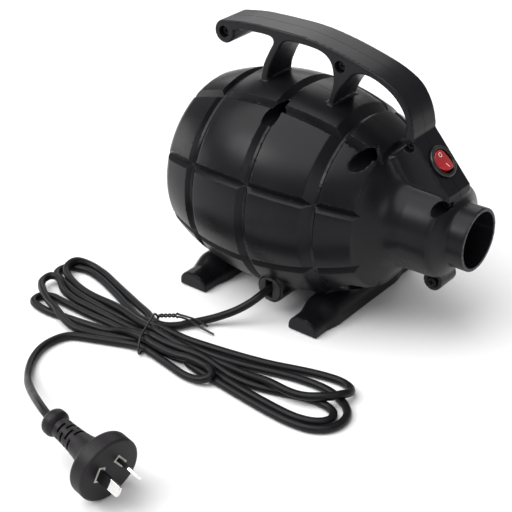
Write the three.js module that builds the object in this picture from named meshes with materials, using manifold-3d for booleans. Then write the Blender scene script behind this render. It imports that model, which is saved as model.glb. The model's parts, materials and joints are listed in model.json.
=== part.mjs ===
// A portable barrel-shaped mains air blower with a strap handle, a rocker switch, a two-stage fan on a
// brushed motor, and a mains cord tied in a hank. Millimetres, +Z up, +X towards the nozzle. The origin
// is on the surface it stands on, below the middle of the body. "Station" means distance behind the
// nozzle's rim, and "rise" means height above the blower's axis.
import * as THREE from "three";
import { mergeVertices } from "three/addons/utils/BufferGeometryUtils.js";
import Module from "manifold-3d";

const wasm = await Module();
wasm.setup();

// ---------------------------------------------------------------- driving dimensions
const LENGTH = 225;
const AXIS_HEIGHT = 82;
const GAP = 0.3;

const BARREL = { radius: 78, middle: 151.5, arcRadius: 168, wall: 5.6, segments: 32 };
const RINGS = [192.6, 142, 92];
const RING_GROOVE = { width: 9, floor: 2, depth: 3.5 };
// The lengthwise grooves' rises, in degrees above the horizontal, are the same on both sides.
const LONG_GROOVE = { width: 8, floor: 1, depth: 3.5, front: 63, rises: [64.2, 19.2, -25.8, -70.8] };
const NOZZLE = { radius: 22.5, bore: 20 };
const HANDLE = { width: 29, tailStation: 205.6, tailRise: 103.5, tailRadius: 8.4 };
const PANEL = { topStation: 46.9, topRise: 65, lowStation: 17.6, lowRise: 31.5 };
const FEET = { stations: [98.5, 199], width: 24, side: 3.4, height: 12.4, clearance: 0.5 };
// Each foot's sections: how far across they lie, and how far the foot has swollen towards its full root.
const FOOT_SECTIONS = [
  [-63, 0],
  [-52, 0],
  [-47.5, 0.25],
  [-42.5, 0.75],
  [-37, 1],
  [0, 1],
  [37, 1],
  [42.5, 0.75],
  [47.5, 0.25],
  [52, 0],
  [63, 0],
];
const FOOT_ROOT = { width: 29, height: 18.4 };
const PAD = { y: 54, length: 18, width: 12, height: 3 };
const INLET = { bore: 50, lip: 47.5, lipStation: 222.6, wallStation: 213 };
const GLAND = { station: 131, rise: -59.4, radius: 11, bush: 9.4, end: 57 };

const SCREW = { head: 3.5, headHeight: 2.4, shank: 1.7, reach: 11, seat: 9, recess: 4.2, hole: 2 };
const BARREL_SCREW = { recess: 5.5, boss: 7.4 };
const SCREWS = {
  handle_tail: [205.6, 103.5],
  handle_middle: [106.5, 101.4],
  leg_base: [49.8, 59.6],
  barrel_top_rear: [142.4, 65],
  barrel_top_front: [74.3, 49],
  neck_upper: [20.5, 25],
  neck_lower: [27, -37],
  base_front: [76, -49],
  base_rear: [160, -66],
};

const BARREL_SCREWS = ["barrel_top_rear", "barrel_top_front", "base_front", "base_rear"];

const SHAFT_RADIUS = 4;
const STATOR = { front: 108, rear: 142, radius: 42, ring: 35, bore: 22.6, poleWidth: 26 };
const ROTOR = { radius: 22, slots: 8, slotWidth: 3.6, slotFloor: 14 };
const COMMUTATOR = { front: 86, rear: 98.6, radius: 12.5 };
const CASING = { front: 168.3, rear: 206, radius: 60, wall: 1.6, eye: 21 };
const IMPELLER = { radius: 52, eye: 19, blades: 6, hub: 9 };
const BRUSH = { station: 92.5, alongX: 6, alongY: 5, inner: 12.9, outer: 26.9 };
const BRUSH_SPRING = { inner: 27.2, outer: 35.6, radius: 2, wire: 0.35, turns: 3 };

const ROCKER = { pivot: -1.5, throwAngle: THREE.MathUtils.degToRad(16) };
const PLUG = { radius: 21.4, flat: 20.7, flatLean: 27.6, thickness: 11, length: 57 };
const PLUG_TURN = { x: 7.2, y: 7.6, z: -7.9 };
const PLUG_PLACE = [30.8, -274.2, 21.6];
const PIN = { length: 18.9, width: 7, thickness: 1.8, pitch: 15.2, rise: 3.3, lean: 30 };
const CORD_RADIUS = 2.85;
const HANK_TOP = 12.4;
// The free stretch from the bush to the tie, points by hand.
const LEAD_ROUTE = [
  [-18.5, -58.3, 23],
  [-18.7, -65, 22.4],
  [-20.6, -71.5, 19.8],
  [-24.6, -77, 16],
  [-30, -82, 12],
  [-36.5, -87.2, 8.4],
  [-43.2, -93, 5.6],
  [-49.4, -99.6, 4.2],
  [-54.4, -106.6, 3.8],
  [-59, -113.2, 4.2],
];
// The free stretch from the hank to the plug, points by hand.
const TAIL_ROUTE = [
  [-112.4, -170.8, 3],
  [-114.8, -180, 3],
  [-114.4, -191, 3],
  [-109.6, -203, 3],
  [-102.6, -213, 3.6],
  [-94, -222, 6],
  [-83.6, -231.2, 10.2],
  [-71, -240.6, 15.8],
  [-57.2, -250, 22],
  [-44.4, -258, 27.2],
  [-33.8, -263.6, 29.6],
  [-25.8, -266.4, 29.2],
];
// The hank's outer shape seen from above: wide at both ends and gathered where the tie holds it.
const HANK_OUTLINE = [
  [-62, -117.8],
  [-92, -109.5],
  [-122, -96.6],
  [-148, -86.4],
  [-166, -84.6],
  [-178, -90.4],
  [-182.6, -104],
  [-181, -122],
  [-173, -143],
  [-158, -157],
  [-140, -164.4],
  [-116, -167.4],
  [-96, -164.6],
  [-76, -157.6],
  [-56, -154],
  [-26, -156],
  [8, -157.6],
  [48, -160.4],
  [76, -161],
  [94, -156.4],
  [102, -143.6],
  [102, -127],
  [94, -107.6],
  [85, -92],
  [70, -83],
  [50, -84.6],
  [18, -96.4],
  [-20, -110.6],
];

// ---------------------------------------------------------------- finishes
const finish = (color, roughness, metalness = 0) => ({ color, roughness, metalness });
const BLACK_SHELL = finish(0x141417, 0.32);
const BLACK_RUBBER = finish(0x101012, 0.75);
const BLACK_CORD = finish(0x121214, 0.5);
const GREY_NYLON = finish(0x2b2c2f, 0.45);
const RED_ROCKER = finish(0xb01318, 0.25);
const STEEL = finish(0x8d9096, 0.35, 1);
const PLATED = finish(0xc8cacd, 0.22, 1);
const BRASS = finish(0xb08d45, 0.3, 1);
const COPPER = finish(0xa85a2c, 0.35, 1);
const CARBON = finish(0x1c1c1e, 0.8);
const FOAM = finish(0x26272a, 0.95);
const LIGHT_NYLON = finish(0xb9b7ae, 0.5);

// ---------------------------------------------------------------- helpers
const xAt = (station) => LENGTH / 2 - station;
const zAt = (rise) => AXIS_HEIGHT + rise;
const barrelRadius = (station) =>
  BARREL.radius - BARREL.arcRadius + Math.sqrt(BARREL.arcRadius ** 2 - (station - BARREL.middle) ** 2);

// A closed three.js geometry as a solid. Faces that come out pointing inwards are turned round.
function solid(geometry) {
  const bare = geometry.index ? geometry.toNonIndexed() : geometry.clone();
  bare.deleteAttribute("normal");
  bare.deleteAttribute("uv");
  const merged = mergeVertices(bare, 1e-4);
  const corners = merged.index.array;
  const triVerts = [];
  for (let i = 0; i < corners.length; i += 3) {
    const [a, b, c] = [corners[i], corners[i + 1], corners[i + 2]];
    if (a !== b && b !== c && c !== a) triVerts.push(a, b, c);
  }
  const vertProperties = merged.attributes.position.array;
  const make = (tris) => new wasm.Manifold(new wasm.Mesh({ numProp: 3, vertProperties, triVerts: tris }));
  const made = make(new Uint32Array(triVerts));
  return made.volume() >= 0 ? made : make(new Uint32Array(triVerts.reverse()));
}

function geometryOf(made) {
  const mesh = made.getMesh();
  const geometry = new THREE.BufferGeometry();
  geometry.setAttribute("position", new THREE.BufferAttribute(new Float32Array(mesh.vertProperties), 3));
  geometry.setIndex(new THREE.BufferAttribute(new Uint32Array(mesh.triVerts), 1));
  const flat = geometry.toNonIndexed();
  flat.computeVertexNormals();
  return flat;
}

const join = (solids) => solids.reduce((all, one) => all.add(one));
const cut = (body, cutters) => cutters.reduce((left, one) => left.subtract(one), body);

// A solid of revolution about the blower's axis, from [station, radius] points.
function revolved(points, segments = 48) {
  const profile = points.map(([station, radius]) => new THREE.Vector2(radius, xAt(station)));
  const first = profile[0];
  const last = profile[profile.length - 1];
  if (first.x > 0 || last.x > 0) profile.push(first.clone());
  const geometry = new THREE.LatheGeometry(profile, segments);
  geometry.rotateZ(-Math.PI / 2);
  geometry.translate(0, 0, AXIS_HEIGHT);
  return solid(geometry);
}

// A disc, or a ring when it has a bore, about the blower's axis.
function disc(front, rear, radius, bore = 0, segments = 24) {
  return revolved(
    [
      [front, bore],
      [front, radius],
      [rear, radius],
      [rear, bore],
    ],
    segments,
  );
}

// A side outline of [station, rise] points, extruded across the blower from y0 to y1.
function plate(outline, y0, y1) {
  const points = outline.map(([station, rise]) => new THREE.Vector2(xAt(station), zAt(rise)));
  const shape = new THREE.Shape(points);
  const geometry = new THREE.ExtrudeGeometry(shape, { depth: y1 - y0, bevelEnabled: false });
  geometry.rotateX(Math.PI / 2);
  geometry.translate(0, y1, 0);
  return solid(geometry);
}

// A round bar across the blower, from y0 to y1.
function crossBar(station, rise, radius, y0, y1, segments = 16) {
  const geometry = new THREE.CylinderGeometry(radius, radius, y1 - y0, segments);
  geometry.translate(xAt(station), (y0 + y1) / 2, zAt(rise));
  return solid(geometry);
}

// A box between two opposite corners.
function box(low, high) {
  const size = high.map((value, i) => value - low[i]);
  const geometry = new THREE.BoxGeometry(...size);
  geometry.translate(...low.map((value, i) => value + size[i] / 2));
  return solid(geometry);
}

// A box given by stations and by distances from the axis across (y) and up (rise).
const stationBox = (front, rear, y0, y1, low, high) =>
  box([xAt(rear), y0, zAt(low)], [xAt(front), y1, zAt(high)]);

// A round tube of constant radius along a smooth curve through the points.
function tube(points, radius, steps, sides) {
  const section = new THREE.Shape();
  for (let i = 0; i < sides; i++) {
    const angle = (i / sides) * 2 * Math.PI;
    const corner = [radius * Math.cos(angle), radius * Math.sin(angle)];
    if (i === 0) section.moveTo(...corner);
    else section.lineTo(...corner);
  }
  section.closePath();
  const path = new THREE.CatmullRomCurve3(points.map((p) => new THREE.Vector3(...p)));
  return new THREE.ExtrudeGeometry(section, { steps, extrudePath: path, bevelEnabled: false });
}

const group = new THREE.Group();

function place(name, geometry, look, parent = group) {
  const mesh = new THREE.Mesh(geometry, new THREE.MeshStandardMaterial(look));
  mesh.name = name;
  parent.add(mesh);
  return mesh;
}

const part = (name, made, look, parent) => place(name, geometryOf(made), look, parent);

// ---------------------------------------------------------------- housing
// The barrel's arc between two stations, with the ring grooves cut into it.
function barrelArc(from, to, step) {
  const points = [];
  const clear = RING_GROOVE.width / 2 + step / 3;
  const nearRing = (station) => RINGS.some((ring) => Math.abs(station - ring) < clear);
  for (let station = from; station > to; station -= step) {
    if (!nearRing(station)) points.push([station, barrelRadius(station)]);
  }
  for (const ring of RINGS) {
    for (const side of [1, -1]) {
      const lip = ring + (side * RING_GROOVE.width) / 2;
      points.push([lip, barrelRadius(lip)]);
      points.push([ring + (side * RING_GROOVE.floor) / 2, barrelRadius(ring) - RING_GROOVE.depth]);
    }
  }
  return points.sort((a, b) => b[0] - a[0]);
}

function outerBody() {
  const rearRim = [
    [LENGTH, 0],
    [LENGTH, 55.5],
    [224.2, 58.8],
    [222, 61.4],
  ];
  const shoulder = [
    [66.4, 54.9],
    [63.4, 49],
    [58.4, 41.4],
    [52, 36.4],
    [44, 34.3],
  ];
  const neck = [
    [26, 33.9],
    [20, 32.3],
    [16, 29.4],
    [14.4, 25.4],
    [12, NOZZLE.radius],
    [0.6, NOZZLE.radius],
    [0, NOZZLE.radius - 0.6],
    [0, 0],
  ];
  return revolved([...rearRim, ...barrelArc(217, 70, 16.4), ...shoulder, ...neck], BARREL.segments);
}

// One cutter follows the barrel's arc. Its bevels give the groove's sloping walls and mitred ends.
function lengthwiseGrooves() {
  const { width, floor, depth, front, rises } = LONG_GROOVE;
  const outline = [];
  for (let station = 226; station > front + 10; station -= 27) outline.push([station, barrelRadius(station)]);
  outline.push([front, barrelRadius(front)]);
  outline.push([front, BARREL.radius + 12]);
  outline.push([226, BARREL.radius + 12]);
  const points = outline.map(([station, radius]) => new THREE.Vector2(xAt(station), radius));
  const cutters = [];
  for (const rise of rises) {
    for (const side of [1, -1]) {
      const geometry = new THREE.ExtrudeGeometry(new THREE.Shape(points), {
        depth: floor,
        bevelThickness: (width - floor) / 2,
        bevelSize: depth,
        bevelSegments: 1,
      });
      geometry.translate(0, 0, -floor / 2);
      geometry.rotateX(Math.PI / 2);
      geometry.rotateX(side * THREE.MathUtils.degToRad(90 - rise));
      geometry.translate(0, 0, AXIS_HEIGHT);
      cutters.push(solid(geometry));
    }
  }
  return cutters;
}

function cavity() {
  const points = [
    [INLET.wallStation, 0],
    [INLET.wallStation, barrelRadius(INLET.wallStation) - BARREL.wall],
  ];
  for (let station = 190; station > 70; station -= 28) {
    points.push([station, barrelRadius(station) - BARREL.wall]);
  }
  points.push([69.4, 50], [62, 39.6], [54.4, 33.2], [45, 31], [40, 31]);
  points.push([32, 29], [29, NOZZLE.bore], [29, 0]);
  return revolved(points, 32);
}

// A smooth curve through [station, rise] points, sampled in even steps.
function smooth(points, steps) {
  const curve = new THREE.CatmullRomCurve3(points.map(([s, r]) => new THREE.Vector3(s, r, 0)));
  return curve.getPoints(steps).map((p) => [p.x, p.y]);
}

function arc(station, rise, radius, fromDegrees, toDegrees, steps) {
  const points = [];
  for (let i = 0; i <= steps; i++) {
    const angle = THREE.MathUtils.degToRad(fromDegrees + ((toDegrees - fromDegrees) * i) / steps);
    points.push([station + radius * Math.cos(angle), rise + radius * Math.sin(angle)]);
  }
  return points;
}

// The strap, its curled tail, its front leg and the switch block, seen from the side.
function handleOutline() {
  const strapTop = [
    [205.6, 111.9],
    [187, 114.6],
    [161.6, 115.5],
    [137, 115.2],
    [113, 111.8],
    [89, 106.2],
    [72.5, 101],
    [60.5, 94.6],
    [53.8, 87.2],
    [49.6, 79],
    [47.2, 70],
    [PANEL.topStation, PANEL.topRise],
  ];
  const block = [
    [PANEL.lowStation, PANEL.lowRise],
    [16.8, 27],
    [24, 20],
    [50, 20],
    [66, 44],
  ];
  const leg = [
    [55.2, 54.6],
    [53.4, 60],
    [52.8, 66.5],
  ];
  const frontArch = smooth(
    [
      [53.3, 74],
      [55.4, 81],
      [60.6, 88],
      [67.5, 93.6],
      [77, 98.2],
      [86, 100.3],
      [92.5, 99.4],
      [97.3, 96.4],
      [101.5, 91],
      [106.6, 84],
      [110.4, 76],
      [113, 66],
    ],
    18,
  );
  const rearArch = smooth(
    [
      [118.5, 66],
      [114.4, 76.5],
      [112, 86],
      [112, 94],
      [114, 101.5],
      [119, 106.6],
      [127, 109],
      [140, 109.6],
      [150, 109],
      [154.6, 106.4],
      [158.6, 100],
      [163, 91.5],
      [166.6, 81.5],
      [168, 66],
    ],
    22,
  );
  const tailGap = smooth(
    [
      [173.2, 66],
      [172.8, 78],
      [170.6, 88],
      [166, 98],
      [162.6, 105],
      [164.4, 108.6],
      [171, 109.4],
      [182, 108.8],
      [192, 107.6],
    ],
    14,
  );
  const tail = arc(HANDLE.tailStation, HANDLE.tailRise, HANDLE.tailRadius, 165, 425, 14);
  return [...smooth(strapTop, 24), ...block, ...leg, ...frontArch, ...rearArch, ...tailGap, ...tail];
}

// A foot's cross section has a flat bottom, short upright sides and a round top.
function footOutline() {
  const half = FEET.width / 2;
  const points = [[half, 0]];
  const steps = 8;
  for (let i = 0; i <= steps; i++) {
    const angle = (i / steps) * Math.PI;
    points.push([half * Math.cos(angle), FEET.side + (FEET.height - FEET.side) * Math.sin(angle)]);
  }
  points.push([-half, 0]);
  return new THREE.Shape(points.map((point) => new THREE.Vector2(...point)));
}

// A bar across the blower, which swells where it runs into the barrel.
function foot(station) {
  const steps = FOOT_SECTIONS.length - 1;
  const geometry = new THREE.ExtrudeGeometry(footOutline(), { depth: steps, steps, bevelEnabled: false });
  const corners = geometry.attributes.position;
  for (let i = 0; i < corners.count; i++) {
    const [across, swell] = FOOT_SECTIONS[Math.round(corners.getZ(i))];
    const wider = 1 + swell * (FOOT_ROOT.width / FEET.width - 1);
    const higher = 1 + swell * (FOOT_ROOT.height / FEET.height - 1);
    corners.setXYZ(i, corners.getX(i) * wider, corners.getY(i) * higher, across);
  }
  geometry.rotateX(Math.PI / 2);
  geometry.translate(xAt(station), 0, FEET.clearance);
  return solid(geometry);
}

const padBox = (station, y, grow) =>
  stationBox(
    station - PAD.length / 2 - grow,
    station + PAD.length / 2 + grow,
    y - PAD.width / 2 - grow,
    y + PAD.width / 2 + grow,
    -AXIS_HEIGHT - (grow > 0 ? 1 : 0),
    -AXIS_HEIGHT + PAD.height + grow,
  );

const padPlaces = () =>
  FEET.stations.flatMap((station, i) =>
    [-PAD.y, PAD.y].map((y) => ({ name: `${i ? "rear" : "front"}_${y < 0 ? "left" : "right"}`, station, y })),
  );

// The panel's own directions: down its slope, and out of it.
const panelRun = new THREE.Vector2(
  xAt(PANEL.lowStation) - xAt(PANEL.topStation),
  PANEL.lowRise - PANEL.topRise,
).normalize();
const panelTilt = Math.atan2(-panelRun.y, panelRun.x);
const panelCentre = [
  xAt((PANEL.topStation + PANEL.lowStation) / 2),
  0,
  zAt((PANEL.topRise + PANEL.lowRise) / 2),
];

// Turns geometry drawn with +Z out of the panel and +X down its slope into its place on the panel.
function onPanel(geometry) {
  geometry.rotateY(panelTilt);
  geometry.translate(...panelCentre);
  return geometry;
}

function panelRod(radius, low, high, segments) {
  const geometry = new THREE.CylinderGeometry(radius, radius, high - low, segments);
  geometry.rotateX(Math.PI / 2);
  geometry.translate(0, 0, (low + high) / 2);
  return solid(onPanel(geometry));
}

// Ribs that carry the two rubber motor mounts.
function ribs() {
  const frontRing = disc(74, 78.5, 28, 22.4, 24);
  const spokes = [];
  for (let i = 0; i < 4; i++) {
    const geometry = new THREE.BoxGeometry(4.5, 5, 36);
    geometry.translate(xAt(76.25), 0, 44);
    geometry.rotateX(((i + 0.5) * Math.PI) / 2);
    geometry.translate(0, 0, AXIS_HEIGHT);
    spokes.push(solid(geometry));
  }
  const rearRing = disc(181, 191, 72, 66.8, 32);
  return join([frontRing, rearRing, ...spokes]);
}

function housing() {
  const outer = cut(outerBody(), lengthwiseGrooves());
  const handle = plate(handleOutline(), -HANDLE.width / 2, HANDLE.width / 2);
  const neckBoss = crossBar(...SCREWS.neck_lower, 7.2, -10, 10, 20);
  const glandBoss = crossBar(GLAND.station, GLAND.rise, GLAND.radius, -GLAND.end, -35, 24);
  const bosses = [];
  for (const name of [...BARREL_SCREWS, "neck_upper"]) {
    bosses.push(crossBar(...SCREWS[name], BARREL_SCREW.boss, -45, 45, 12).intersect(outer));
  }
  const clampBlock = stationBox(124, 138, -48, -38, -62, -52);
  const shell = cut(join([outer, handle, ...FEET.stations.map(foot), glandBoss]), [cavity()]);
  const inner = join([ribs().intersect(outer), ...bosses, clampBlock.intersect(outer)]);
  const bores = [
    disc(-2, 30, NOZZLE.bore, 0, 32),
    disc(INLET.wallStation - 1, INLET.lipStation, INLET.bore, 0, 32),
    disc(INLET.lipStation - 1, LENGTH + 2, INLET.lip, 0, 32),
    panelRod(10.2, -31, 6, 20),
    crossBar(GLAND.station, GLAND.rise, GLAND.bush + GAP, -GLAND.end - 2, -46, 20),
    crossBar(GLAND.station, GLAND.rise, 4.4, -50, -30, 12),
    ...padPlaces().map((pad) => padBox(pad.station, pad.y, GAP)),
  ];
  for (const [name, [station, rise]] of Object.entries(SCREWS)) {
    const recess = BARREL_SCREWS.includes(name) ? BARREL_SCREW.recess : SCREW.recess;
    bores.push(crossBar(station, rise, recess, -90, -SCREW.seat, 16));
    bores.push(crossBar(station, rise, SCREW.hole, -SCREW.seat - 1, SCREW.reach + GAP, 8));
  }
  return cut(join([shell, inner, neckBoss]), bores);
}

function housingHalves() {
  const whole = housing();
  const reach = 200;
  const seam = GAP / 2;
  const left = box([-reach, -reach, -1], [reach, -seam, 2 * reach]);
  const right = box([-reach, seam, -1], [reach, reach, 2 * reach]);
  part("housing_left", whole.intersect(left), BLACK_SHELL);
  part("housing_right", whole.intersect(right), BLACK_SHELL);
}

function footPads() {
  for (const pad of padPlaces()) {
    part(`foot_pad_${pad.name}`, padBox(pad.station, pad.y, 0), BLACK_RUBBER);
  }
}

// Each screw is a turned pan-head blank. It lies along +Y with its head towards -Y.
function screwGeometry() {
  const seat = -SCREW.seat - GAP;
  const profile = [
    [0, seat - SCREW.headHeight],
    [SCREW.head * 0.7, seat - SCREW.headHeight],
    [SCREW.head, seat - SCREW.headHeight * 0.5],
    [SCREW.head, seat],
    [SCREW.shank, seat],
    [SCREW.shank, SCREW.reach - 2],
    [0, SCREW.reach],
  ];
  const points = profile.map(([radius, y]) => new THREE.Vector2(radius, y));
  return geometryOf(solid(new THREE.LatheGeometry(points, 8)));
}

function screws() {
  const geometry = screwGeometry();
  for (const [name, [station, rise]] of Object.entries(SCREWS)) {
    const mesh = place(`screw_${name}`, geometry, STEEL);
    mesh.position.set(xAt(station), 0, zAt(rise));
  }
}

// ---------------------------------------------------------------- air path
// A round guard: a rim crossed by straight bars.
function guard(front, rear, radius, rim, bars, pitch, barWidth) {
  const ring = disc(front, rear, radius, radius - rim, 32);
  const field = disc(front, rear, radius - rim / 2, 0, 32);
  const across = [];
  for (let i = 0; i < bars; i++) {
    const middle = (i - (bars - 1) / 2) * pitch;
    const low = middle - barWidth / 2;
    const high = middle + barWidth / 2;
    across.push(stationBox(front, rear, low, high, -radius, radius));
  }
  across.push(stationBox(front, rear, -radius, radius, -barWidth / 2, barWidth / 2));
  return ring.add(join(across).intersect(field));
}

function airPath() {
  part("inlet_grille", guard(219.4, 222.3, INLET.bore - GAP, 5, 9, 9.6, 2.6), GREY_NYLON);
  part("inlet_filter", disc(213.4, 219.1, INLET.bore - GAP, 0, 32), FOAM);
  part("outlet_guard", guard(40.3, 42.6, 30.4, 3, 5, 9.6, 1.8), GREY_NYLON);
}

// ---------------------------------------------------------------- switch
function rocker() {
  const halfLength = 7.6;
  const outline = new THREE.Shape();
  outline.moveTo(-halfLength, -1.6);
  outline.lineTo(-3.4, -4.4);
  outline.lineTo(3.4, -4.4);
  outline.lineTo(halfLength, -1.6);
  outline.lineTo(halfLength, 3.4);
  outline.quadraticCurveTo(halfLength / 2, 1.9, 0, 1.8);
  outline.quadraticCurveTo(-halfLength / 2, 1.9, -halfLength, 3.4);
  outline.closePath();
  const width = 15.2;
  const bar = new THREE.ExtrudeGeometry(outline, { depth: width, bevelEnabled: false, curveSegments: 4 });
  bar.translate(0, 0, -width / 2);
  bar.rotateX(Math.PI / 2);
  const round = new THREE.CylinderGeometry(halfLength, halfLength, 20, 24);
  round.rotateX(Math.PI / 2);
  const made = solid(bar).intersect(solid(round));
  const geometry = geometryOf(made);
  geometry.translate(0, 0, -ROCKER.pivot);
  geometry.rotateY(-ROCKER.throwAngle / 2);
  geometry.translate(0, 0, ROCKER.pivot);
  return onPanel(geometry);
}

function rockerSwitch() {
  const bezel = panelRod(11.5, GAP, 2.3, 28).add(panelRod(9.8, -17, 1, 24));
  const well = panelRod(8.8, -8, 3, 24);
  part("switch_body", bezel.subtract(well), GREY_NYLON);
  place("switch_rocker", rocker(), RED_ROCKER);
  for (const [name, along] of [["line", -4], ["load", 4]]) {
    const geometry = new THREE.BoxGeometry(0.8, 6.3, 8);
    geometry.translate(along, 0, -17 - GAP - 4);
    place(`switch_terminal_${name}`, onPanel(geometry), BRASS);
  }
}

// ---------------------------------------------------------------- motor
function stator() {
  const core = disc(STATOR.front, STATOR.rear, STATOR.radius, STATOR.ring, 32);
  const halfPole = STATOR.poleWidth / 2;
  const reach = STATOR.ring + 2;
  const poles = stationBox(STATOR.front, STATOR.rear, -halfPole, halfPole, -reach, reach);
  const bore = disc(STATOR.front - 1, STATOR.rear + 1, STATOR.bore, 0, 32);
  part("stator_core", core.add(poles).subtract(bore), STEEL);
  for (const [name, side] of [["upper", 1], ["lower", -1]]) {
    const levels = side > 0 ? [23.5, 28.5] : [-28.5, -23.5];
    const outer = stationBox(STATOR.front - 9, STATOR.rear + 9, -20, 20, ...levels);
    const halfWindow = halfPole + GAP;
    const window = stationBox(STATOR.front - GAP, STATOR.rear + GAP, -halfWindow, halfWindow, -40, 40);
    part(`field_coil_${name}`, outer.subtract(window), COPPER);
  }
}

function motorFrames() {
  const rearPlate = disc(164.2, 168, CASING.radius, 0, 32);
  const windows = [];
  for (let i = 0; i < 6; i++) {
    const geometry = new THREE.CylinderGeometry(7.5, 7.5, 12, 10);
    geometry.rotateZ(Math.PI / 2);
    geometry.translate(xAt(166), 0, 33);
    geometry.rotateX((i * Math.PI) / 3);
    geometry.translate(0, 0, AXIS_HEIGHT);
    windows.push(solid(geometry));
  }
  const rearBoss = disc(151.5, 165, 14.5, 0, 20);
  const rearSeat = disc(151, 160.4, 11.3, 0, 20);
  const rearBore = disc(150, 170, 5, 0, 12);
  const rearPosts = [-1, 1].map((side) =>
    stationBox(STATOR.rear + GAP, 165, Math.min(side * 36, side * 41), Math.max(side * 36, side * 41), -7, 7),
  );
  const rear = cut(join([rearPlate, rearBoss]), [...windows, rearSeat, rearBore]);
  part("motor_frame_rear", join([rear, ...rearPosts]), STEEL);

  const frontBoss = disc(74.6, 85, 15, 0, 24);
  const frontSeat = disc(77, 86, 11.3, 0, 20);
  const arms = [stationBox(81, 85, -41, 41, -8, 8), stationBox(81, 85, -7, 7, -38, 38)];
  const legs = [-1, 1].map((side) =>
    stationBox(82, STATOR.front - GAP, Math.min(side * 36, side * 41), Math.max(side * 36, side * 41), -8, 8),
  );
  part("motor_frame_front", cut(join([frontBoss, ...arms, ...legs]), [frontSeat]), STEEL);
  part("bearing_front", disc(77.3, 84.3, 11, 4.3, 16), PLATED);
  part("bearing_rear", disc(152, 160.1, 11, 4.3, 16), PLATED);
  part("motor_mount_front", disc(72, 80.7, 22.1, 15.3, 24), BLACK_RUBBER);
  part("motor_mount_rear", disc(180, 192, 66.4, CASING.radius + GAP, 32), BLACK_RUBBER);
}

function rotor() {
  part("motor_shaft", disc(77.6, 211, SHAFT_RADIUS, 0, 12), STEEL);
  const bore = SHAFT_RADIUS + GAP;
  const slots = [];
  const bars = [];
  for (let i = 0; i < ROTOR.slots; i++) {
    const angle = (i * 2 * Math.PI) / ROTOR.slots;
    const cutBox = (width, low, high, front, rear) => {
      const geometry = new THREE.BoxGeometry(rear - front, width, high - low);
      geometry.translate(xAt((front + rear) / 2), 0, (low + high) / 2);
      geometry.rotateX(angle);
      geometry.translate(0, 0, AXIS_HEIGHT);
      return solid(geometry);
    };
    slots.push(cutBox(ROTOR.slotWidth, ROTOR.slotFloor, ROTOR.radius + 2, STATOR.front - 1, STATOR.rear + 1));
    const width = ROTOR.slotWidth - 2 * GAP;
    bars.push(cutBox(width, ROTOR.slotFloor + GAP, 20.5, STATOR.front - 3, STATOR.rear + 3));
  }
  part("armature_core", cut(disc(STATOR.front, STATOR.rear, ROTOR.radius, bore, 24), slots), STEEL);
  const frontTurns = disc(STATOR.front - 8, STATOR.front - GAP, 20.5, bore, 16);
  const rearTurns = disc(STATOR.rear + GAP, STATOR.rear + 8, 20.5, bore, 16);
  part("armature_winding", join([frontTurns, rearTurns, ...bars]), COPPER);
  part("commutator", disc(COMMUTATOR.front, COMMUTATOR.rear, COMMUTATOR.radius, bore, 24), COPPER);
}

// A shrouded centrifugal impeller. Its eye faces the rear, and its blades lean backwards.
function impeller(front, rear) {
  const bore = SHAFT_RADIUS + GAP;
  const back = disc(front, front + 1.4, IMPELLER.radius, bore, 20);
  const hub = disc(front, rear, IMPELLER.hub, bore, 20);
  const shroud = disc(rear - 1.4, rear, IMPELLER.radius, IMPELLER.eye, 20);
  const blades = [];
  for (let i = 0; i < IMPELLER.blades; i++) {
    const geometry = new THREE.BoxGeometry(rear - front - 1, 1.4, 33);
    geometry.rotateX(THREE.MathUtils.degToRad(38));
    geometry.translate(xAt((front + rear) / 2), 9, 31);
    geometry.rotateX((i * 2 * Math.PI) / IMPELLER.blades);
    geometry.translate(0, 0, AXIS_HEIGHT);
    blades.push(solid(geometry));
  }
  return join([back, hub, shroud, ...blades.map((blade) => blade.intersect(disc(front, rear, 51, 0, 20)))]);
}

function fan() {
  const outside = disc(CASING.front, CASING.rear, CASING.radius, 0, 32);
  const inside = disc(CASING.front - 1, CASING.rear - CASING.wall, CASING.radius - CASING.wall, 0, 32);
  const eye = disc(CASING.rear - 3, CASING.rear + 1, CASING.eye, 0, 24);
  part("fan_casing", cut(outside, [inside, eye]), STEEL);
  part("impeller_first", impeller(191, 203.6), LIGHT_NYLON);
  part("impeller_second", impeller(171, 183.6), LIGHT_NYLON);
  part("diffuser_plate", disc(185.2, 189.4, CASING.radius - CASING.wall - GAP, 14, 32), GREY_NYLON);
  part("impeller_spacer", disc(183.6 + GAP, 191 - GAP, 8, SHAFT_RADIUS + GAP, 12), STEEL);
  const nut = disc(203.6 + GAP, 208.5, 7, 0, 6);
  part("impeller_nut", nut.subtract(disc(203, 209, SHAFT_RADIUS + GAP, 0, 12)), PLATED);
}

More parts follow.
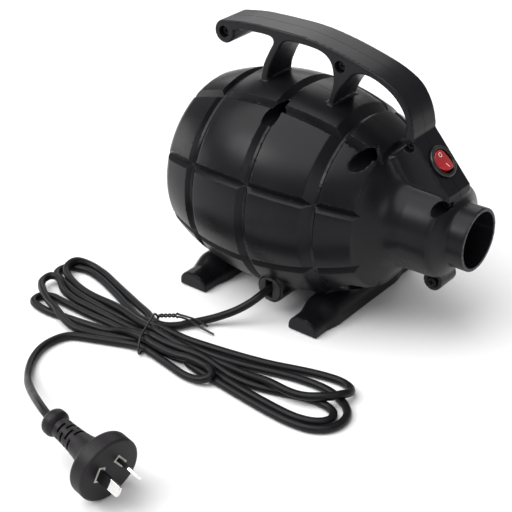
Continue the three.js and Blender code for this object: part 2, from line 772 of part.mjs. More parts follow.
function brushGear() {
  const halfX = BRUSH.alongX / 2;
  const halfY = BRUSH.alongY / 2;
  const wall = 1;
  const cap = BRUSH_SPRING.outer + GAP;
  for (const [name, side] of [["upper", 1], ["lower", -1]]) {
    const levels = (low, high) => (side > 0 ? [low, high] : [-high, -low]);
    const sized = (grow, low, high) =>
      stationBox(
        BRUSH.station - halfX - grow,
        BRUSH.station + halfX + grow,
        -halfY - grow,
        halfY + grow,
        ...levels(low, high),
      );
    const holder = sized(wall + GAP, 14.5, cap + wall).subtract(sized(GAP, 13, cap));
    part(`brush_holder_${name}`, holder, BRASS);
    part(`carbon_brush_${name}`, sized(0, BRUSH.inner, BRUSH.outer), CARBON);
    const coil = [];
    const perTurn = 7;
    for (let i = 0; i <= BRUSH_SPRING.turns * perTurn; i++) {
      const angle = (i / perTurn) * 2 * Math.PI;
      const along = i / (BRUSH_SPRING.turns * perTurn);
      const low = BRUSH_SPRING.inner + BRUSH_SPRING.wire;
      const high = BRUSH_SPRING.outer - BRUSH_SPRING.wire;
      const reach = BRUSH_SPRING.radius - BRUSH_SPRING.wire;
      coil.push([reach * Math.cos(angle), reach * Math.sin(angle), side * (low + along * (high - low))]);
    }
    const mesh = place(`brush_spring_${name}`, tube(coil, BRUSH_SPRING.wire, coil.length - 1, 4), STEEL);
    mesh.position.set(xAt(BRUSH.station), 0, AXIS_HEIGHT);
  }
}

// ---------------------------------------------------------------- cord
function cordEntry() {
  const bush = crossBar(GLAND.station, GLAND.rise, GLAND.bush, -58, -46.3, 20);
  const passage = crossBar(GLAND.station, GLAND.rise, 3.2, -54, -40, 10);
  const face = crossBar(GLAND.station, GLAND.rise, GLAND.bush, -58, -56, 20);
  const slot = crossBar(GLAND.station, GLAND.rise, 2.2, -59, -57, 12);
  part("cord_bush", join([bush.subtract(passage), face.subtract(slot)]), BLACK_RUBBER);
  part("cord_clamp", stationBox(124, 138, -45.7, -38.2, -51.7, -48.5), GREY_NYLON);
  const screw = new THREE.CylinderGeometry(2.6, 2.6, 2.2, 10);
  screw.rotateX(Math.PI / 2);
  const mesh = place("cord_clamp_screw", screw, STEEL);
  mesh.position.set(xAt(131), -42, zAt(-48.5 + GAP + 1.1));
}

function cord() {
  place("cord_lead", tube(LEAD_ROUTE, CORD_RADIUS, 18, 8), BLACK_CORD);
  place("cord_tail", tube(TAIL_ROUTE, CORD_RADIUS, 24, 8), BLACK_CORD);
  const rim = new THREE.CatmullRomCurve3(
    HANK_OUTLINE.map(([x, y]) => new THREE.Vector3(x, y, 0)),
    true,
  );
  const outline = rim.getPoints(56).slice(0, -1);
  const shape = new THREE.Shape(outline.map((p) => new THREE.Vector2(p.x, p.y)));
  const hank = new THREE.ExtrudeGeometry(shape, { depth: HANK_TOP - 0.2, bevelEnabled: false });
  hank.translate(0, 0, 0.2);
  place("cord_hank", hank, BLACK_CORD);
  const over = HANK_TOP + 1.4;
  const tie = [
    [-74.4, -111, 1.4],
    [-74.4, -111.2, over - 2],
    [-73.6, -113, over],
    [-58, -156, over],
    [-57.2, -157.8, over - 2],
    [-57.2, -158, 1.4],
  ];
  place("cord_tie", tube(tie, 0.8, 24, 6), BLACK_RUBBER);
}

// ---------------------------------------------------------------- plug
// Drawn with its pins along +X and the side where the pins spread at the bottom, then laid down.
function plug() {
  const body = new THREE.Group();
  const profile = [
    [0, 0],
    [PLUG.radius - 0.8, 0],
    [PLUG.radius, 0.8],
    [PLUG.radius, PLUG.thickness - 2.4],
    [PLUG.radius - 2.6, PLUG.thickness],
    [12.6, PLUG.thickness + 4],
    [10.2, PLUG.thickness + 9],
    [8.6, 30],
    [7.6, 42],
    [7.3, 46.5],
    [9.4, 48.8],
    [9.5, 53.5],
    [7.4, PLUG.length],
    [0, PLUG.length],
  ];
  const outline = profile.map(([radius, back]) => new THREE.Vector2(radius, -back));
  const turned = new THREE.LatheGeometry(outline, 24);
  turned.rotateZ(-Math.PI / 2);
  const flat = new THREE.BoxGeometry(PLUG.thickness + 2, 40, 10);
  flat.translate(-PLUG.thickness / 2, 0, -PLUG.flat - 5);
  flat.rotateX(THREE.MathUtils.degToRad(PLUG.flatLean));
  const recesses = [];
  const pins = [];
  for (const [name, side] of [["active", 1], ["neutral", -1]]) {
    const lay = (geometry, along) => {
      geometry.rotateX(THREE.MathUtils.degToRad(side * PIN.lean));
      geometry.translate(along, (side * PIN.pitch) / 2, PIN.rise);
      return geometry;
    };
    const seat = lay(new THREE.BoxGeometry(3, PIN.thickness + 3, PIN.width + 2.6), -0.5);
    recesses.push(solid(seat));
    const blade = new THREE.BoxGeometry(PIN.length + 1.7, PIN.thickness, PIN.width);
    pins.push([name, lay(blade, (PIN.length - 1.7) / 2)]);
  }
  part("plug_body", cut(solid(turned), [solid(flat), ...recesses]), BLACK_CORD, body);
  for (const [name, geometry] of pins) place(`plug_pin_${name}`, geometry, PLATED, body);
  const turn = new THREE.Euler(
    THREE.MathUtils.degToRad(PLUG_TURN.x),
    THREE.MathUtils.degToRad(PLUG_TURN.y),
    THREE.MathUtils.degToRad(PLUG_TURN.z),
    "ZYX",
  );
  body.rotation.copy(turn);
  body.position.set(...PLUG_PLACE);
  group.add(body);
}

housingHalves();
footPads();
screws();
airPath();
rockerSwitch();
stator();
motorFrames();
rotor();
fan();
brushGear();
cordEntry();
cord();
plug();

export default group;
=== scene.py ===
"""Looks for a portable barrel-shaped air blower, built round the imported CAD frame.

Shapes are worked out in millimetres and written to the meshes in metres. A "station" is the distance
behind the nozzle's rim, and a "rise" is the height above the blower's axis, as in the CAD model.
"""

import json
import math

import bmesh
import bpy
import numpy as np
from mathutils import Euler, Matrix, Vector


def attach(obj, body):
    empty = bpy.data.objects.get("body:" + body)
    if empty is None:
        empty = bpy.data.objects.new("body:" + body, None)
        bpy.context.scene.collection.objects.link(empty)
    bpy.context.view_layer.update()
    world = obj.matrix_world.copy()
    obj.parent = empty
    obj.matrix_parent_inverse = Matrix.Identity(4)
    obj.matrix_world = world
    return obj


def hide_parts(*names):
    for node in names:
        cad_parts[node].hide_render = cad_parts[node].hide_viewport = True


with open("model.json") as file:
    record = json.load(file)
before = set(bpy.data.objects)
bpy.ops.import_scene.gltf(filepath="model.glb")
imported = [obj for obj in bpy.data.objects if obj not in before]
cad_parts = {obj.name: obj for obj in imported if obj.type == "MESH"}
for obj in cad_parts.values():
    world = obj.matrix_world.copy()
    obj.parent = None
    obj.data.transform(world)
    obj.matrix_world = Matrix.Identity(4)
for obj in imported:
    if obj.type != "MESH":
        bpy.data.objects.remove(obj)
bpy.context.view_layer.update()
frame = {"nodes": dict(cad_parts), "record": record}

MM = 0.001
LENGTH = 225.0
AXIS = 82.0
GAP = 0.3

# ---------------------------------------------------------------- camera
LOOK_BACK = Vector((0.5332, -0.6824, 0.5)).normalized()
camera_data = bpy.data.cameras.new("camera")
camera_data.sensor_width = 36.0
camera_data.lens = 92.81
camera = bpy.data.objects.new("camera", camera_data)
camera.location = (0.4675, -0.6953, 0.5125)
camera.rotation_euler = LOOK_BACK.to_track_quat("Z", "Y").to_euler()
bpy.context.scene.collection.objects.link(camera)
bpy.context.scene.camera = camera


# ---------------------------------------------------------------- curves
def smooth(points, per_span):
    """A smooth curve through the points, with per_span samples between each two."""
    p = np.array(points, float)
    ends = np.vstack([2 * p[:1] - p[1:2], p, 2 * p[-1:] - p[-2:-1]])
    t = np.linspace(0, 1, per_span, endpoint=False)[:, None]
    runs = []
    for i in range(len(ends) - 3):
        a, b, c, d = ends[i : i + 4]
        square = 2 * a - 5 * b + 4 * c - d
        cube = 3 * b - a - 3 * c + d
        runs.append(0.5 * (2 * b + (c - a) * t + square * t**2 + cube * t**3))
    runs.append(p[-1:])
    return np.vstack(runs)


def spaced(points, step):
    """The same line with its points an even step apart."""
    p = np.array(points, float)
    along = np.concatenate([[0], np.cumsum(np.linalg.norm(np.diff(p, axis=0), axis=1))])
    count = max(2, int(round(along[-1] / step)) + 1)
    at = np.linspace(0, along[-1], count)
    return np.stack([np.interp(at, along, p[:, i]) for i in range(3)], axis=1)


def curve_piece(name, points_mm, radius_mm, sides=3):
    """A round strand along the points."""
    data = bpy.data.curves.new(name, "CURVE")
    data.dimensions = "3D"
    data.bevel_depth = radius_mm * MM
    data.bevel_resolution = sides
    data.use_fill_caps = True
    spline = data.splines.new("POLY")
    spline.points.add(len(points_mm) - 1)
    for point, p in zip(spline.points, points_mm):
        point.co = (p[0] * MM, p[1] * MM, p[2] * MM, 1)
    spline.use_smooth = True
    piece = bpy.data.objects.new(name, data)
    bpy.context.scene.collection.objects.link(piece)
    return piece


# ---------------------------------------------------------------- cord
CORD_RADIUS = 2.85
FLOOR_LEVEL = CORD_RADIUS + 0.15
# The free stretch from the bush to the tie, points given one by one.
LEAD_ROUTE = [
    (-18.5, -58.3, 23), (-18.7, -65, 22.4), (-20.6, -71.5, 19.8), (-24.6, -77, 16), (-30, -82, 12),
    (-36.5, -87.2, 8.4), (-43.2, -93, 5.6), (-49.4, -99.6, 4.2), (-54.4, -106.6, 3.8), (-59, -113.2, 4.2),
]
# The free stretch from the hank to the plug, points given one by one.
TAIL_ROUTE = [
    (-112.4, -170.8, 3), (-114.8, -180, 3), (-114.4, -191, 3), (-109.6, -203, 3), (-102.6, -213, 3.6),
    (-94, -222, 6), (-83.6, -231.2, 10.2), (-71, -240.6, 15.8), (-57.2, -250, 22), (-44.4, -258, 27.2),
    (-33.8, -263.6, 29.6), (-25.8, -266.4, 29.2),
]
LOW, HIGH = 4.5, 9.4
TIE_TOP, TIE_FOOT = (-73.0, -118.0), (-57.0, -155.0)


def lane(y, z):
    """Where a strand in the lane at y passes under the tie."""
    along = (TIE_TOP[1] - y) / (TIE_TOP[1] - TIE_FOOT[1])
    return (TIE_TOP[0] + along * (TIE_FOOT[0] - TIE_TOP[0]), y, z)


# The hank's strands in order: nine passes through the tie, with loops at its left and right ends.
HANK = [
    lane(-122.5, LOW),
    (-86, -114, 5), (-103, -107.5, 5), (-131, -98, 5), (-150, -91.5, 5), (-164, -90.5, 6),
    (-174, -97, 7.4), (-174, -107, 8), (-164, -114, 8.4), (-146, -119.5, 8.6), (-118, -124, 8.8),
    (-98, -127, 9), (-82, -130, 9.2),
    lane(-132.1, HIGH),
    (-50, -131.5, 9.3), (-31, -131, 9.3), (-5, -132, 9.2), (18, -132.4, 9), (36, -132.6, 8.8),
    (54, -131.4, 8.7), (68, -127.4, 8.6), (79, -120.5, 8.4), (85, -111, 8), (82.5, -101.5, 7.2),
    (72, -96.5, 6.5), (56, -98.6, 6), (41, -103, 6), (23, -109, 6), (4, -113.6, 6.5), (-17, -117.5, 7),
    (-39, -121, 8), (-56, -124, 9.2),
    lane(-125.7, HIGH),
    (-84, -122.5, 7), (-101, -116, 4), (-125, -106, 3), (-148, -98, 3), (-166, -95.5, 3),
    (-178, -101.5, 3), (-179, -112, 3), (-169, -119.5, 3), (-150, -124, 3), (-128, -126.5, 3),
    (-106, -128, 3.2), (-86, -129, 4),
    lane(-128.9, LOW),
    (-50, -128.6, 3.6), (-30, -127.6, 3), (2, -122.6, 3), (18, -118.6, 3), (32, -114.6, 3),
    (47, -111, 3), (63, -109.4, 3), (76, -111, 3), (87, -115.6, 3), (94.5, -123, 3), (97, -133, 3),
    (94, -143, 3), (85, -150, 3), (72, -152.6, 3), (55, -152.4, 3), (31, -150, 3), (7, -146.6, 3),
    (-20, -142, 3.4), (-44, -138, 4),
    lane(-135.3, LOW),
    (-91, -133, 3.3), (-115, -131.5, 3), (-138, -131, 3), (-154, -126, 3.5), (-165, -119, 6),
    (-174, -121, 8), (-174, -131, 8.4), (-164, -140.5, 8.4), (-147, -150, 8.2), (-129, -157, 8),
    (-113, -161.5, 7), (-100, -160, 5), (-88, -154.5, 4), (-76, -147, 4),
    lane(-141.7, LOW),
    (-45, -141.5, 4), (-23, -141, 3.4), (1, -141.5, 3), (26, -144, 3), (55, -146.4, 3), (72, -146.2, 3),
    (84, -142, 3), (89.5, -134.5, 3), (86, -127, 3), (76, -124.4, 3), (62, -126, 3.2), (48, -130.5, 3.6),
    (26, -135, 4.5), (0, -137, 6), (-25, -138, 8), (-46, -138.6, 9),
    lane(-138.5, HIGH),
    (-80, -138, 6), (-98, -139, 3.6), (-120, -140, 3), (-142, -139, 3), (-156, -138.6, 3),
    (-164.5, -143.5, 3), (-163, -151.5, 3), (-152, -154.5, 3), (-136, -154, 3), (-115, -151, 3),
    (-98, -148.5, 3.5), (-80, -146, 6.5),
    lane(-144.9, HIGH),
    (-48, -144, 7), (-34, -143.6, 5), (-18, -142.5, 4), (-4, -143, 3.4), (3, -147.5, 3), (-2, -153, 3),
    (-16, -154.5, 3), (-34, -151.5, 3.2), (-48, -149, 4),
    lane(-148.1, LOW),
    (-72, -149.6, 3.6), (-86, -153.5, 3), (-99, -159, 3), (-108, -165, 3),
]


def settle(points, fixed, rounds):
    """Lets the strands push each other apart and sink, as laid cord does, with both ends held."""
    sink, pull_back, even_out = 0.04, 0.012, 0.25
    tie_reach, tie_lift = 22, 1.6
    p = points.copy()
    aim = points.copy()
    free = np.ones(len(p), bool)
    free[: fixed[0]] = False
    free[-fixed[1] :] = False
    apart = 2 * CORD_RADIUS + 0.15
    tie_a, tie_b = np.array(TIE_TOP), np.array(TIE_FOOT)
    tie_along = (tie_b - tie_a) / np.linalg.norm(tie_b - tie_a)
    for turn in range(rounds):
        if turn % 8 == 0:
            gap = np.linalg.norm(p[:, None, :] - p[None, :, :], axis=2)
            one, two = np.nonzero(np.triu(gap < apart + 5, 5))
        away = p[one] - p[two]
        near = np.linalg.norm(away, axis=1)
        push = np.clip(apart - near, 0, None) / np.maximum(near, 1e-6) * 0.5
        move = np.zeros_like(p)
        weight = np.full(len(p), 1e-9)
        np.add.at(move, one, away * push[:, None])
        np.add.at(move, two, -away * push[:, None])
        np.add.at(weight, one, push > 0)
        np.add.at(weight, two, push > 0)
        p[free] += (move / np.maximum(weight, 1)[:, None])[free]
        p[free, 2] -= sink
        p[free] += pull_back * (aim - p)[free] * np.array([1, 1, 0.3])
        shift = p - aim
        inner = free[1:-1]
        p[1:-1][inner] += even_out * (0.5 * (shift[:-2] + shift[2:]) - shift[1:-1])[inner]
        beside = p[:, :2] - tie_a
        off = np.abs(beside[:, 0] * tie_along[1] - beside[:, 1] * tie_along[0])
        lift = np.clip(1 - off / tie_reach, 0, 1) ** 2 * tie_lift
        inside = (p[:, 1] < TIE_TOP[1] + 8) & (p[:, 1] > TIE_FOOT[1] - 8)
        p[free, 2] = np.maximum(p[:, 2], FLOOR_LEVEL + np.where(inside, lift, 0))[free]
    return p


route = smooth([(-18.5, -50, 23.0), *LEAD_ROUTE, *HANK, *TAIL_ROUTE], 12)
route = spaced(route, 4.0)
route = settle(route, (20, 34), 240)
CORD_LINE = spaced(smooth(route, 3), 2.0)
cord = curve_piece("mains_cord", CORD_LINE, CORD_RADIUS)

# The twist tie goes once round the bundle and is twisted together above the lead.
TIE_WIRE = 0.75


def twist_tie():
    over, under = 13.6, 0.95
    loop = [
        (-70.6, -118.6, 9), (-71.4, -121, over - 1), (-69, -127, over), (-64, -138, over + 0.2),
        (-59.4, -149, over - 0.6), (-57.2, -153.6, over - 4), (-56.6, -155, 6), (-57.2, -154, 2.2),
        (-59.4, -149, under), (-64, -138, under), (-69, -126.6, under), (-72.6, -118.6, under),
        (-73.6, -116.4, 3), (-73, -116.4, 7), (-71.2, -117, 9.4),
    ]
    start = np.array((-70.9, -117.4, 9.6))
    end = np.array((-60.5, -108.4, 9.2))
    run = end - start
    side = np.cross(run, (0, 0, 1))
    side /= np.linalg.norm(side)
    lift = np.cross(side, run)
    lift /= np.linalg.norm(lift)
    strands = []
    for phase in (0, math.pi):
        strand = []
        for i in range(19):
            along = i / 18
            turn = phase + along * 2.5 * 2 * math.pi
            reach = 0.85 if along < 0.8 else 0.85 + (along - 0.8) * 4
            strand.append(start + run * along + reach * (math.cos(turn) * side + math.sin(turn) * lift))
        strands.append(strand)
    first_end = [(-52, -103.4, 7.6), (-46, -101, 5.4), (-41, -99.5, 3.2)]
    second_end = [(-54, -106, 7), (-45, -104, 3.6), (-33, -103, 1.6)]
    line = [*reversed(first_end), *reversed(strands[0]), *loop, *strands[1], *second_end]
    return curve_piece("twist_tie", smooth(line, 5), TIE_WIRE, 2)


tie = twist_tie()


# ---------------------------------------------------------------- solids from distance fields
def smin(a, b, k):
    h = np.maximum(k - np.abs(a - b), 0) / k
    return np.minimum(a, b) - h * h * k / 4


def smax(a, b, k):
    h = np.maximum(k - np.abs(a - b), 0) / k
    return np.maximum(a, b) + h * h * k / 4


def polygon_distance(px, py, outline):
    """Distance to a closed outline, negative inside."""
    px, py = np.broadcast_arrays(px, py)
    nearest = np.full(px.shape, 1e9)
    inside = np.zeros(px.shape, bool)
    for (ax, ay), (bx, by) in zip(outline, outline[1:] + outline[:1]):
        ex, ey = bx - ax, by - ay
        if ex == 0 and ey == 0:
            continue
        wx, wy = px - ax, py - ay
        t = np.clip((wx * ex + wy * ey) / (ex * ex + ey * ey), 0, 1)
        nearest = np.minimum(nearest, (wx - ex * t) ** 2 + (wy - ey * t) ** 2)
        crosses = (ay <= py) != (by <= py)
        left = (ex * wy - ey * wx > 0) == (by > ay)
        inside ^= crosses & left
    return (np.where(inside, -1, 1) * np.sqrt(nearest)).astype(np.float32)


def table_of(outline, u_span, v_span, step):
    """The distance to an outline, kept in a table for quick reading at any place."""
    u = np.arange(u_span[0], u_span[1] + step, step)
    v = np.arange(v_span[0], v_span[1] + step, step)
    table = polygon_distance(u[:, None], v[None, :], outline)

    def read(a, b):
        over = np.hypot(a - np.clip(a, u[0], u[-1]), b - np.clip(b, v[0], v[-1]))
        i = np.clip((a - u[0]) / step, 0, len(u) - 1.001).astype(np.float32)
        j = np.clip((b - v[0]) / step, 0, len(v) - 1.001).astype(np.float32)
        i0, j0 = i.astype(np.int32), j.astype(np.int32)
        i, j = i - i0, j - j0
        low = table[i0, j0] * (1 - j) + table[i0, j0 + 1] * j
        high = table[i0 + 1, j0] * (1 - j) + table[i0 + 1, j0 + 1] * j
        return low * (1 - i) + high * i + over

    return read


def values_at(field, points):
    """The field at many points, worked out in batches."""
    batch = 400000
    parts = [field(*points[i : i + batch].T.astype(np.float32)) for i in range(0, len(points), batch)]
    return np.concatenate(parts)


def near_surface_values(field, low, high, step):
    """The field on a grid, exact near the surface and only its sign elsewhere."""
    block = 3
    blocks = np.ceil((np.array(high) - low) / step / block).astype(int) + 2
    corners = np.stack(np.meshgrid(*[np.arange(m) for m in blocks], indexing="ij"), -1)
    coarse = values_at(field, low + corners.reshape(-1, 3) * block * step).reshape(blocks)
    close = np.abs(coarse) < 2.0 * block * step
    wide = close.copy()
    for axis in range(3):
        ahead = [slice(None)] * 3
        behind = [slice(None)] * 3
        ahead[axis], behind[axis] = slice(1, None), slice(0, -1)
        grown = wide.copy()
        grown[tuple(ahead)] |= wide[tuple(behind)]
        grown[tuple(behind)] |= wide[tuple(ahead)]
        wide = grown
    grid = coarse
    for axis in range(3):
        grid = np.repeat(grid, block, axis=axis)
    offsets = np.stack(np.meshgrid(*[np.arange(block)] * 3, indexing="ij"), -1).reshape(-1, 3)
    spots = (np.argwhere(wide)[:, None, :] * block + offsets).reshape(-1, 3)
    grid[tuple(spots.T)] = values_at(field, low + spots * step)
    return grid


def skin(field, low, high, step):
    """Vertices and quads of a field's zero surface, each vertex where the surface's planes near it meet."""
    low = np.array(low, float)
    grid = near_surface_values(field, low, high, step)
    solid = grid < 0
    n = np.array(grid.shape) - 1
    count = np.zeros(n, np.int8)
    for a, b, c in [(a, b, c) for a in (0, 1) for b in (0, 1) for c in (0, 1)]:
        count += solid[a : a + n[0], b : b + n[1], c : c + n[2]]
    active = (count > 0) & (count < 8)
    cells = np.argwhere(active)
    number = np.full(n, -1, np.int64)
    number[active] = np.arange(len(cells))
    quads, owners, normals, places = [], [], [], []
    for axis in range(3):
        u, v = [k for k in range(3) if k != axis]
        first = [slice(None)] * 3
        second = [slice(None)] * 3
        first[axis], second[axis] = slice(0, -1), slice(1, None)
        first, second = tuple(first), tuple(second)
        edges = np.argwhere(solid[first] != solid[second])
        at = tuple(edges.T)
        start, end = grid[first][at], grid[second][at]
        crossing = edges.astype(float)
        crossing[:, axis] += start / (start - end)
        crossing = low + crossing * step
        slope = np.empty_like(crossing)
        reach = 0.06
        for k in range(3):
            shift = np.zeros(3)
            shift[k] = reach
            slope[:, k] = values_at(field, crossing + shift) - values_at(field, crossing - shift)
        slope /= 2 * reach
        size = np.maximum((slope**2).sum(1), 1e-4)
        crossing -= (values_at(field, crossing) / size)[:, None] * slope
        ring = []
        for du, dv in ((-1, -1), (0, -1), (0, 0), (-1, 0)):
            cell = edges.copy()
            cell[:, u] += du
            cell[:, v] += dv
            ring.append(number[tuple(cell.T)])
            owners.append(ring[-1])
            normals.append(slope / np.sqrt(size)[:, None])
            places.append(crossing)
        ring = np.stack(ring, axis=1)
        outward = solid[at]
        if axis == 1:
            outward = ~outward
        ring[~outward] = ring[~outward][:, ::-1]
        quads.append(ring)
    owners, normals, places = np.concatenate(owners), np.vstack(normals), np.vstack(places)

    def gather(weights):
        return np.bincount(owners, weights, len(cells))

    share = np.maximum(gather(np.ones(len(owners))), 1)
    middle = np.stack([gather(places[:, k]) / share for k in range(3)], 1)
    level = (normals * (places - middle[owners])).sum(1)
    pull = np.stack([gather(normals[:, k] * level) for k in range(3)], 1)
    matrix = np.empty((len(cells), 3, 3))
    for i in range(3):
        for j in range(3):
            matrix[:, i, j] = gather(normals[:, i] * normals[:, j])
    matrix += 0.02 * share[:, None, None] * np.eye(3)
    vertices = middle + np.linalg.solve(matrix, pull[:, :, None])[:, :, 0]
    floor = low + cells * step
    return np.clip(vertices, floor, floor + step), np.vstack(quads)


def mesh_piece(name, vertices_mm, faces):
    """A smooth-shaded mesh object, from vertices in millimetres."""
    mesh = bpy.data.meshes.new(name)
    vertices = np.asarray(vertices_mm, float) * MM
    if isinstance(faces, np.ndarray):
        mesh.vertices.add(len(vertices))
        mesh.vertices.foreach_set("co", vertices.astype(np.float32).ravel())
        mesh.loops.add(faces.size)
        mesh.loops.foreach_set("vertex_index", faces.astype(np.int32).ravel())
        mesh.polygons.add(len(faces))
        mesh.polygons.foreach_set("loop_start", np.arange(0, faces.size, faces.shape[1], dtype=np.int32))
        mesh.update(calc_edges=True)
    else:
        mesh.from_pydata([tuple(v) for v in vertices], [], faces)
    mesh.polygons.foreach_set("use_smooth", [True] * len(mesh.polygons))
    if isinstance(faces, np.ndarray):
        mesh.set_sharp_from_angle(angle=math.radians(33))
    piece = bpy.data.objects.new(name, mesh)
    bpy.context.scene.collection.objects.link(piece)
    return piece


# ---------------------------------------------------------------- housing
BARREL = {"radius": 78.0, "middle": 151.5, "arc": 168.0, "wall": 5.6}
RINGS = (192.6, 142.0, 92.0)
RING_GROOVE = {"floor": 2.0, "depth": 3.5}
LONG_GROOVE = {"floor": 0.0, "depth": 3.7, "front": 59.5, "rise": 19.2}
NOZZLE = {"radius": 22.5, "bore": 20.0}
STRAP_HALF = 14.5
EDGE = 1.4
FEET = (98.5, 199.0)
FOOT = {"width": 24.0, "side": 3.4, "height": 12.4, "half": 63.0, "clear": 0.5}
FOOT_ROOT = {"width": 29.0, "height": 18.4}
GLAND = {"station": 131.0, "rise": -59.4, "radius": 11.0, "bush": 9.4, "end": -57.0, "hole": 4.4}
SCREWS = {
    "handle_tail": (205.6, 103.5, 4.2), "handle_middle": (106.5, 101.4, 4.2), "leg_base": (49.8, 59.6, 4.2),
    "barrel_top_rear": (142.4, 65, 5.5), "barrel_top_front": (74.3, 49, 5.5), "neck_upper": (20.5, 25, 4.2),
    "neck_lower": (27, -37, 4.2), "base_front": (76, -49, 5.5), "base_rear": (160, -66, 5.5),
}
PANEL_TOP, PANEL_LOW = (46.9, 65.0), (17.6, 31.5)
PANEL_HOLE = {"radius": 10.2, "depth": 31.0}
INLET = {"seat": 50.0, "front": 212.0, "rear": 222.6, "mouth": 47.5, "lip": 221.0}
SCREW = {"seat": -9.0, "bore": 2.0, "floor": 11.3}
LUG = {"radius": 7.2, "half": 10.0}
PAD = {"middle": 54.0, "half_long": 9.3, "half_wide": 6.3, "top": 3.3}
FILLET = {"handle": 2.2, "leg": 5.0, "foot": 4.0, "lug": 2.5, "gland": 3.0}


def barrel_radius(station):
    return BARREL["radius"] - BARREL["arc"] + np.sqrt(BARREL["arc"] ** 2 - (station - BARREL["middle"]) ** 2)


def barrel_outline():
    points = [(LENGTH, -12), (LENGTH, 55.5), (224.6, 57.6), (223.6, 59.6), (222, 61.6)]
    points += [(s, float(barrel_radius(s))) for s in np.arange(219, 67, -2.0)]
    shoulder = [(66.2, 54.7), (64.6, 51), (62, 46.6), (58.2, 41.6), (54, 37.8), (49, 35.4), (43, 34.3)]
    points += [tuple(p) for p in smooth(shoulder, 4)]
    neck = [(27, 34), (22.4, 33.7), (20.2, 32.8), (18.8, 31.4), (16.8, 28), (14.8, 24.6), (13.4, 23)]
    points += [tuple(p) for p in smooth(neck, 4)]
    points += [(12.2, NOZZLE["radius"]), (0.6, NOZZLE["radius"]), (0.15, 22.3), (0, 21.8), (0, -12)]
    return points


def cavity_outline():
    points = [(213, -12), (213, float(barrel_radius(213)) - BARREL["wall"])]
    for station in range(200, 71, -5):
        points.append((station, float(barrel_radius(station)) - BARREL["wall"]))
    points += [(69.4, 50), (62, 39.6), (54.4, 33.2), (45, 31), (40, 31), (32, 29)]
    points += [(29, NOZZLE["bore"]), (29, -12)]
    return points


def arc_points(station, rise, radius, start, end, steps):
    angles = np.radians(np.linspace(start, end, steps + 1))
    return [(station + radius * math.cos(a), rise + radius * math.sin(a)) for a in angles]


def handle_outline():
    strap_top = [
        (205.6, 111.9), (187, 114.6), (161.6, 115.5), (137, 115.2), (113, 111.8), (89, 106.2), (72.5, 101),
        (60.5, 94.6), (53.8, 87.2), (49.6, 79), (47.2, 70), PANEL_TOP,
    ]
    block = [PANEL_LOW, (16.8, 27), (24, 20), (50, 20), (66, 44)]
    leg = [(55.2, 54.6), (53.4, 60), (52.8, 66.5)]
    front_arch = [
        (53.3, 74), (55.4, 81), (60.6, 88), (67.5, 93.6), (77, 98.2), (86, 100.3), (92.5, 99.4),
        (97.3, 96.4), (101.5, 91), (106.6, 84), (110.4, 76), (113, 66),
    ]
    rear_arch = [
        (118.5, 66), (114.4, 76.5), (112, 86), (112, 94), (114, 101.5), (119, 106.6), (127, 109),
        (140, 109.6), (150, 109), (154.6, 106.4), (158.6, 100), (163, 91.5), (166.6, 81.5), (168, 66),
    ]
    tail_gap = [
        (173.2, 66), (172.8, 78), (170.6, 88), (166, 98), (162.6, 105), (164.4, 108.6), (171, 109.4),
        (182, 108.8), (192, 107.6),
    ]
    tail = arc_points(205.6, 103.5, 8.4, 165, 425, 30)
    arches = [smooth(run, 5) for run in (front_arch, rear_arch, tail_gap)]
    runs = [smooth(strap_top, 6), block, leg, *arches, tail]
    return [(float(p[0]), float(p[1])) for run in runs for p in run]


def panel_frame():
    """The panel's middle, its direction down the slope and its outward normal, in x and z."""
    top = np.array((LENGTH / 2 - PANEL_TOP[0], AXIS + PANEL_TOP[1]))
    low = np.array((LENGTH / 2 - PANEL_LOW[0], AXIS + PANEL_LOW[1]))
    down = (low - top) / np.linalg.norm(low - top)
    return (top + low) / 2, down, np.array((-down[1], down[0]))


PANEL_MIDDLE, PANEL_DOWN, PANEL_OUT = panel_frame()


def rod_y(x, y, z, station, rise, radius, y0, y1, soft=0.3):
    """A round bar across the blower."""
    round_part = np.hypot(x - (LENGTH / 2 - station), z - (AXIS + rise)) - radius
    return smax(round_part, np.maximum(y0 - y, y - y1), soft)


body_at = table_of(barrel_outline(), (-5, 230), (0, 92), 0.4)
cavity_at = table_of(cavity_outline(), (-5, 230), (0, 92), 0.4)
side_at = table_of(handle_outline(), (-5, 230), (14, 122), 0.4)


def grooved_barrel(station, y, rise, radial):
    turn = (np.degrees(np.arctan2(rise, np.abs(y))) - LONG_GROOVE["rise"]) / 45
    turn = np.radians((turn - np.clip(np.round(turn), -2, 1)) * 45)
    across = np.abs(radial * np.sin(turn)) - LONG_GROOVE["floor"] / 2
    rim = radial * np.cos(turn) - barrel_radius(np.clip(station, 20, 230)) + LONG_GROOVE["depth"]
    groove = np.maximum((across - rim) / math.sqrt(2), -rim)
    groove = np.maximum(groove, (LONG_GROOVE["front"] + np.maximum(across, 0) - station) / math.sqrt(2))
    for ring in RINGS:
        beside = np.abs(station - ring) - RING_GROOVE["floor"] / 2
        above = radial - barrel_radius(ring) + RING_GROOVE["depth"]
        groove = np.minimum(groove, np.maximum((beside - above) / math.sqrt(2), -above))
    return np.maximum(body_at(station, radial), -groove)


def handle_bar(station, y, rise):
    side = side_at(station, rise) + EDGE
    wide = np.abs(y) - STRAP_HALF + EDGE
    return np.minimum(np.maximum(side, wide), 0) + np.hypot(np.maximum(side, 0), np.maximum(wide, 0)) - EDGE


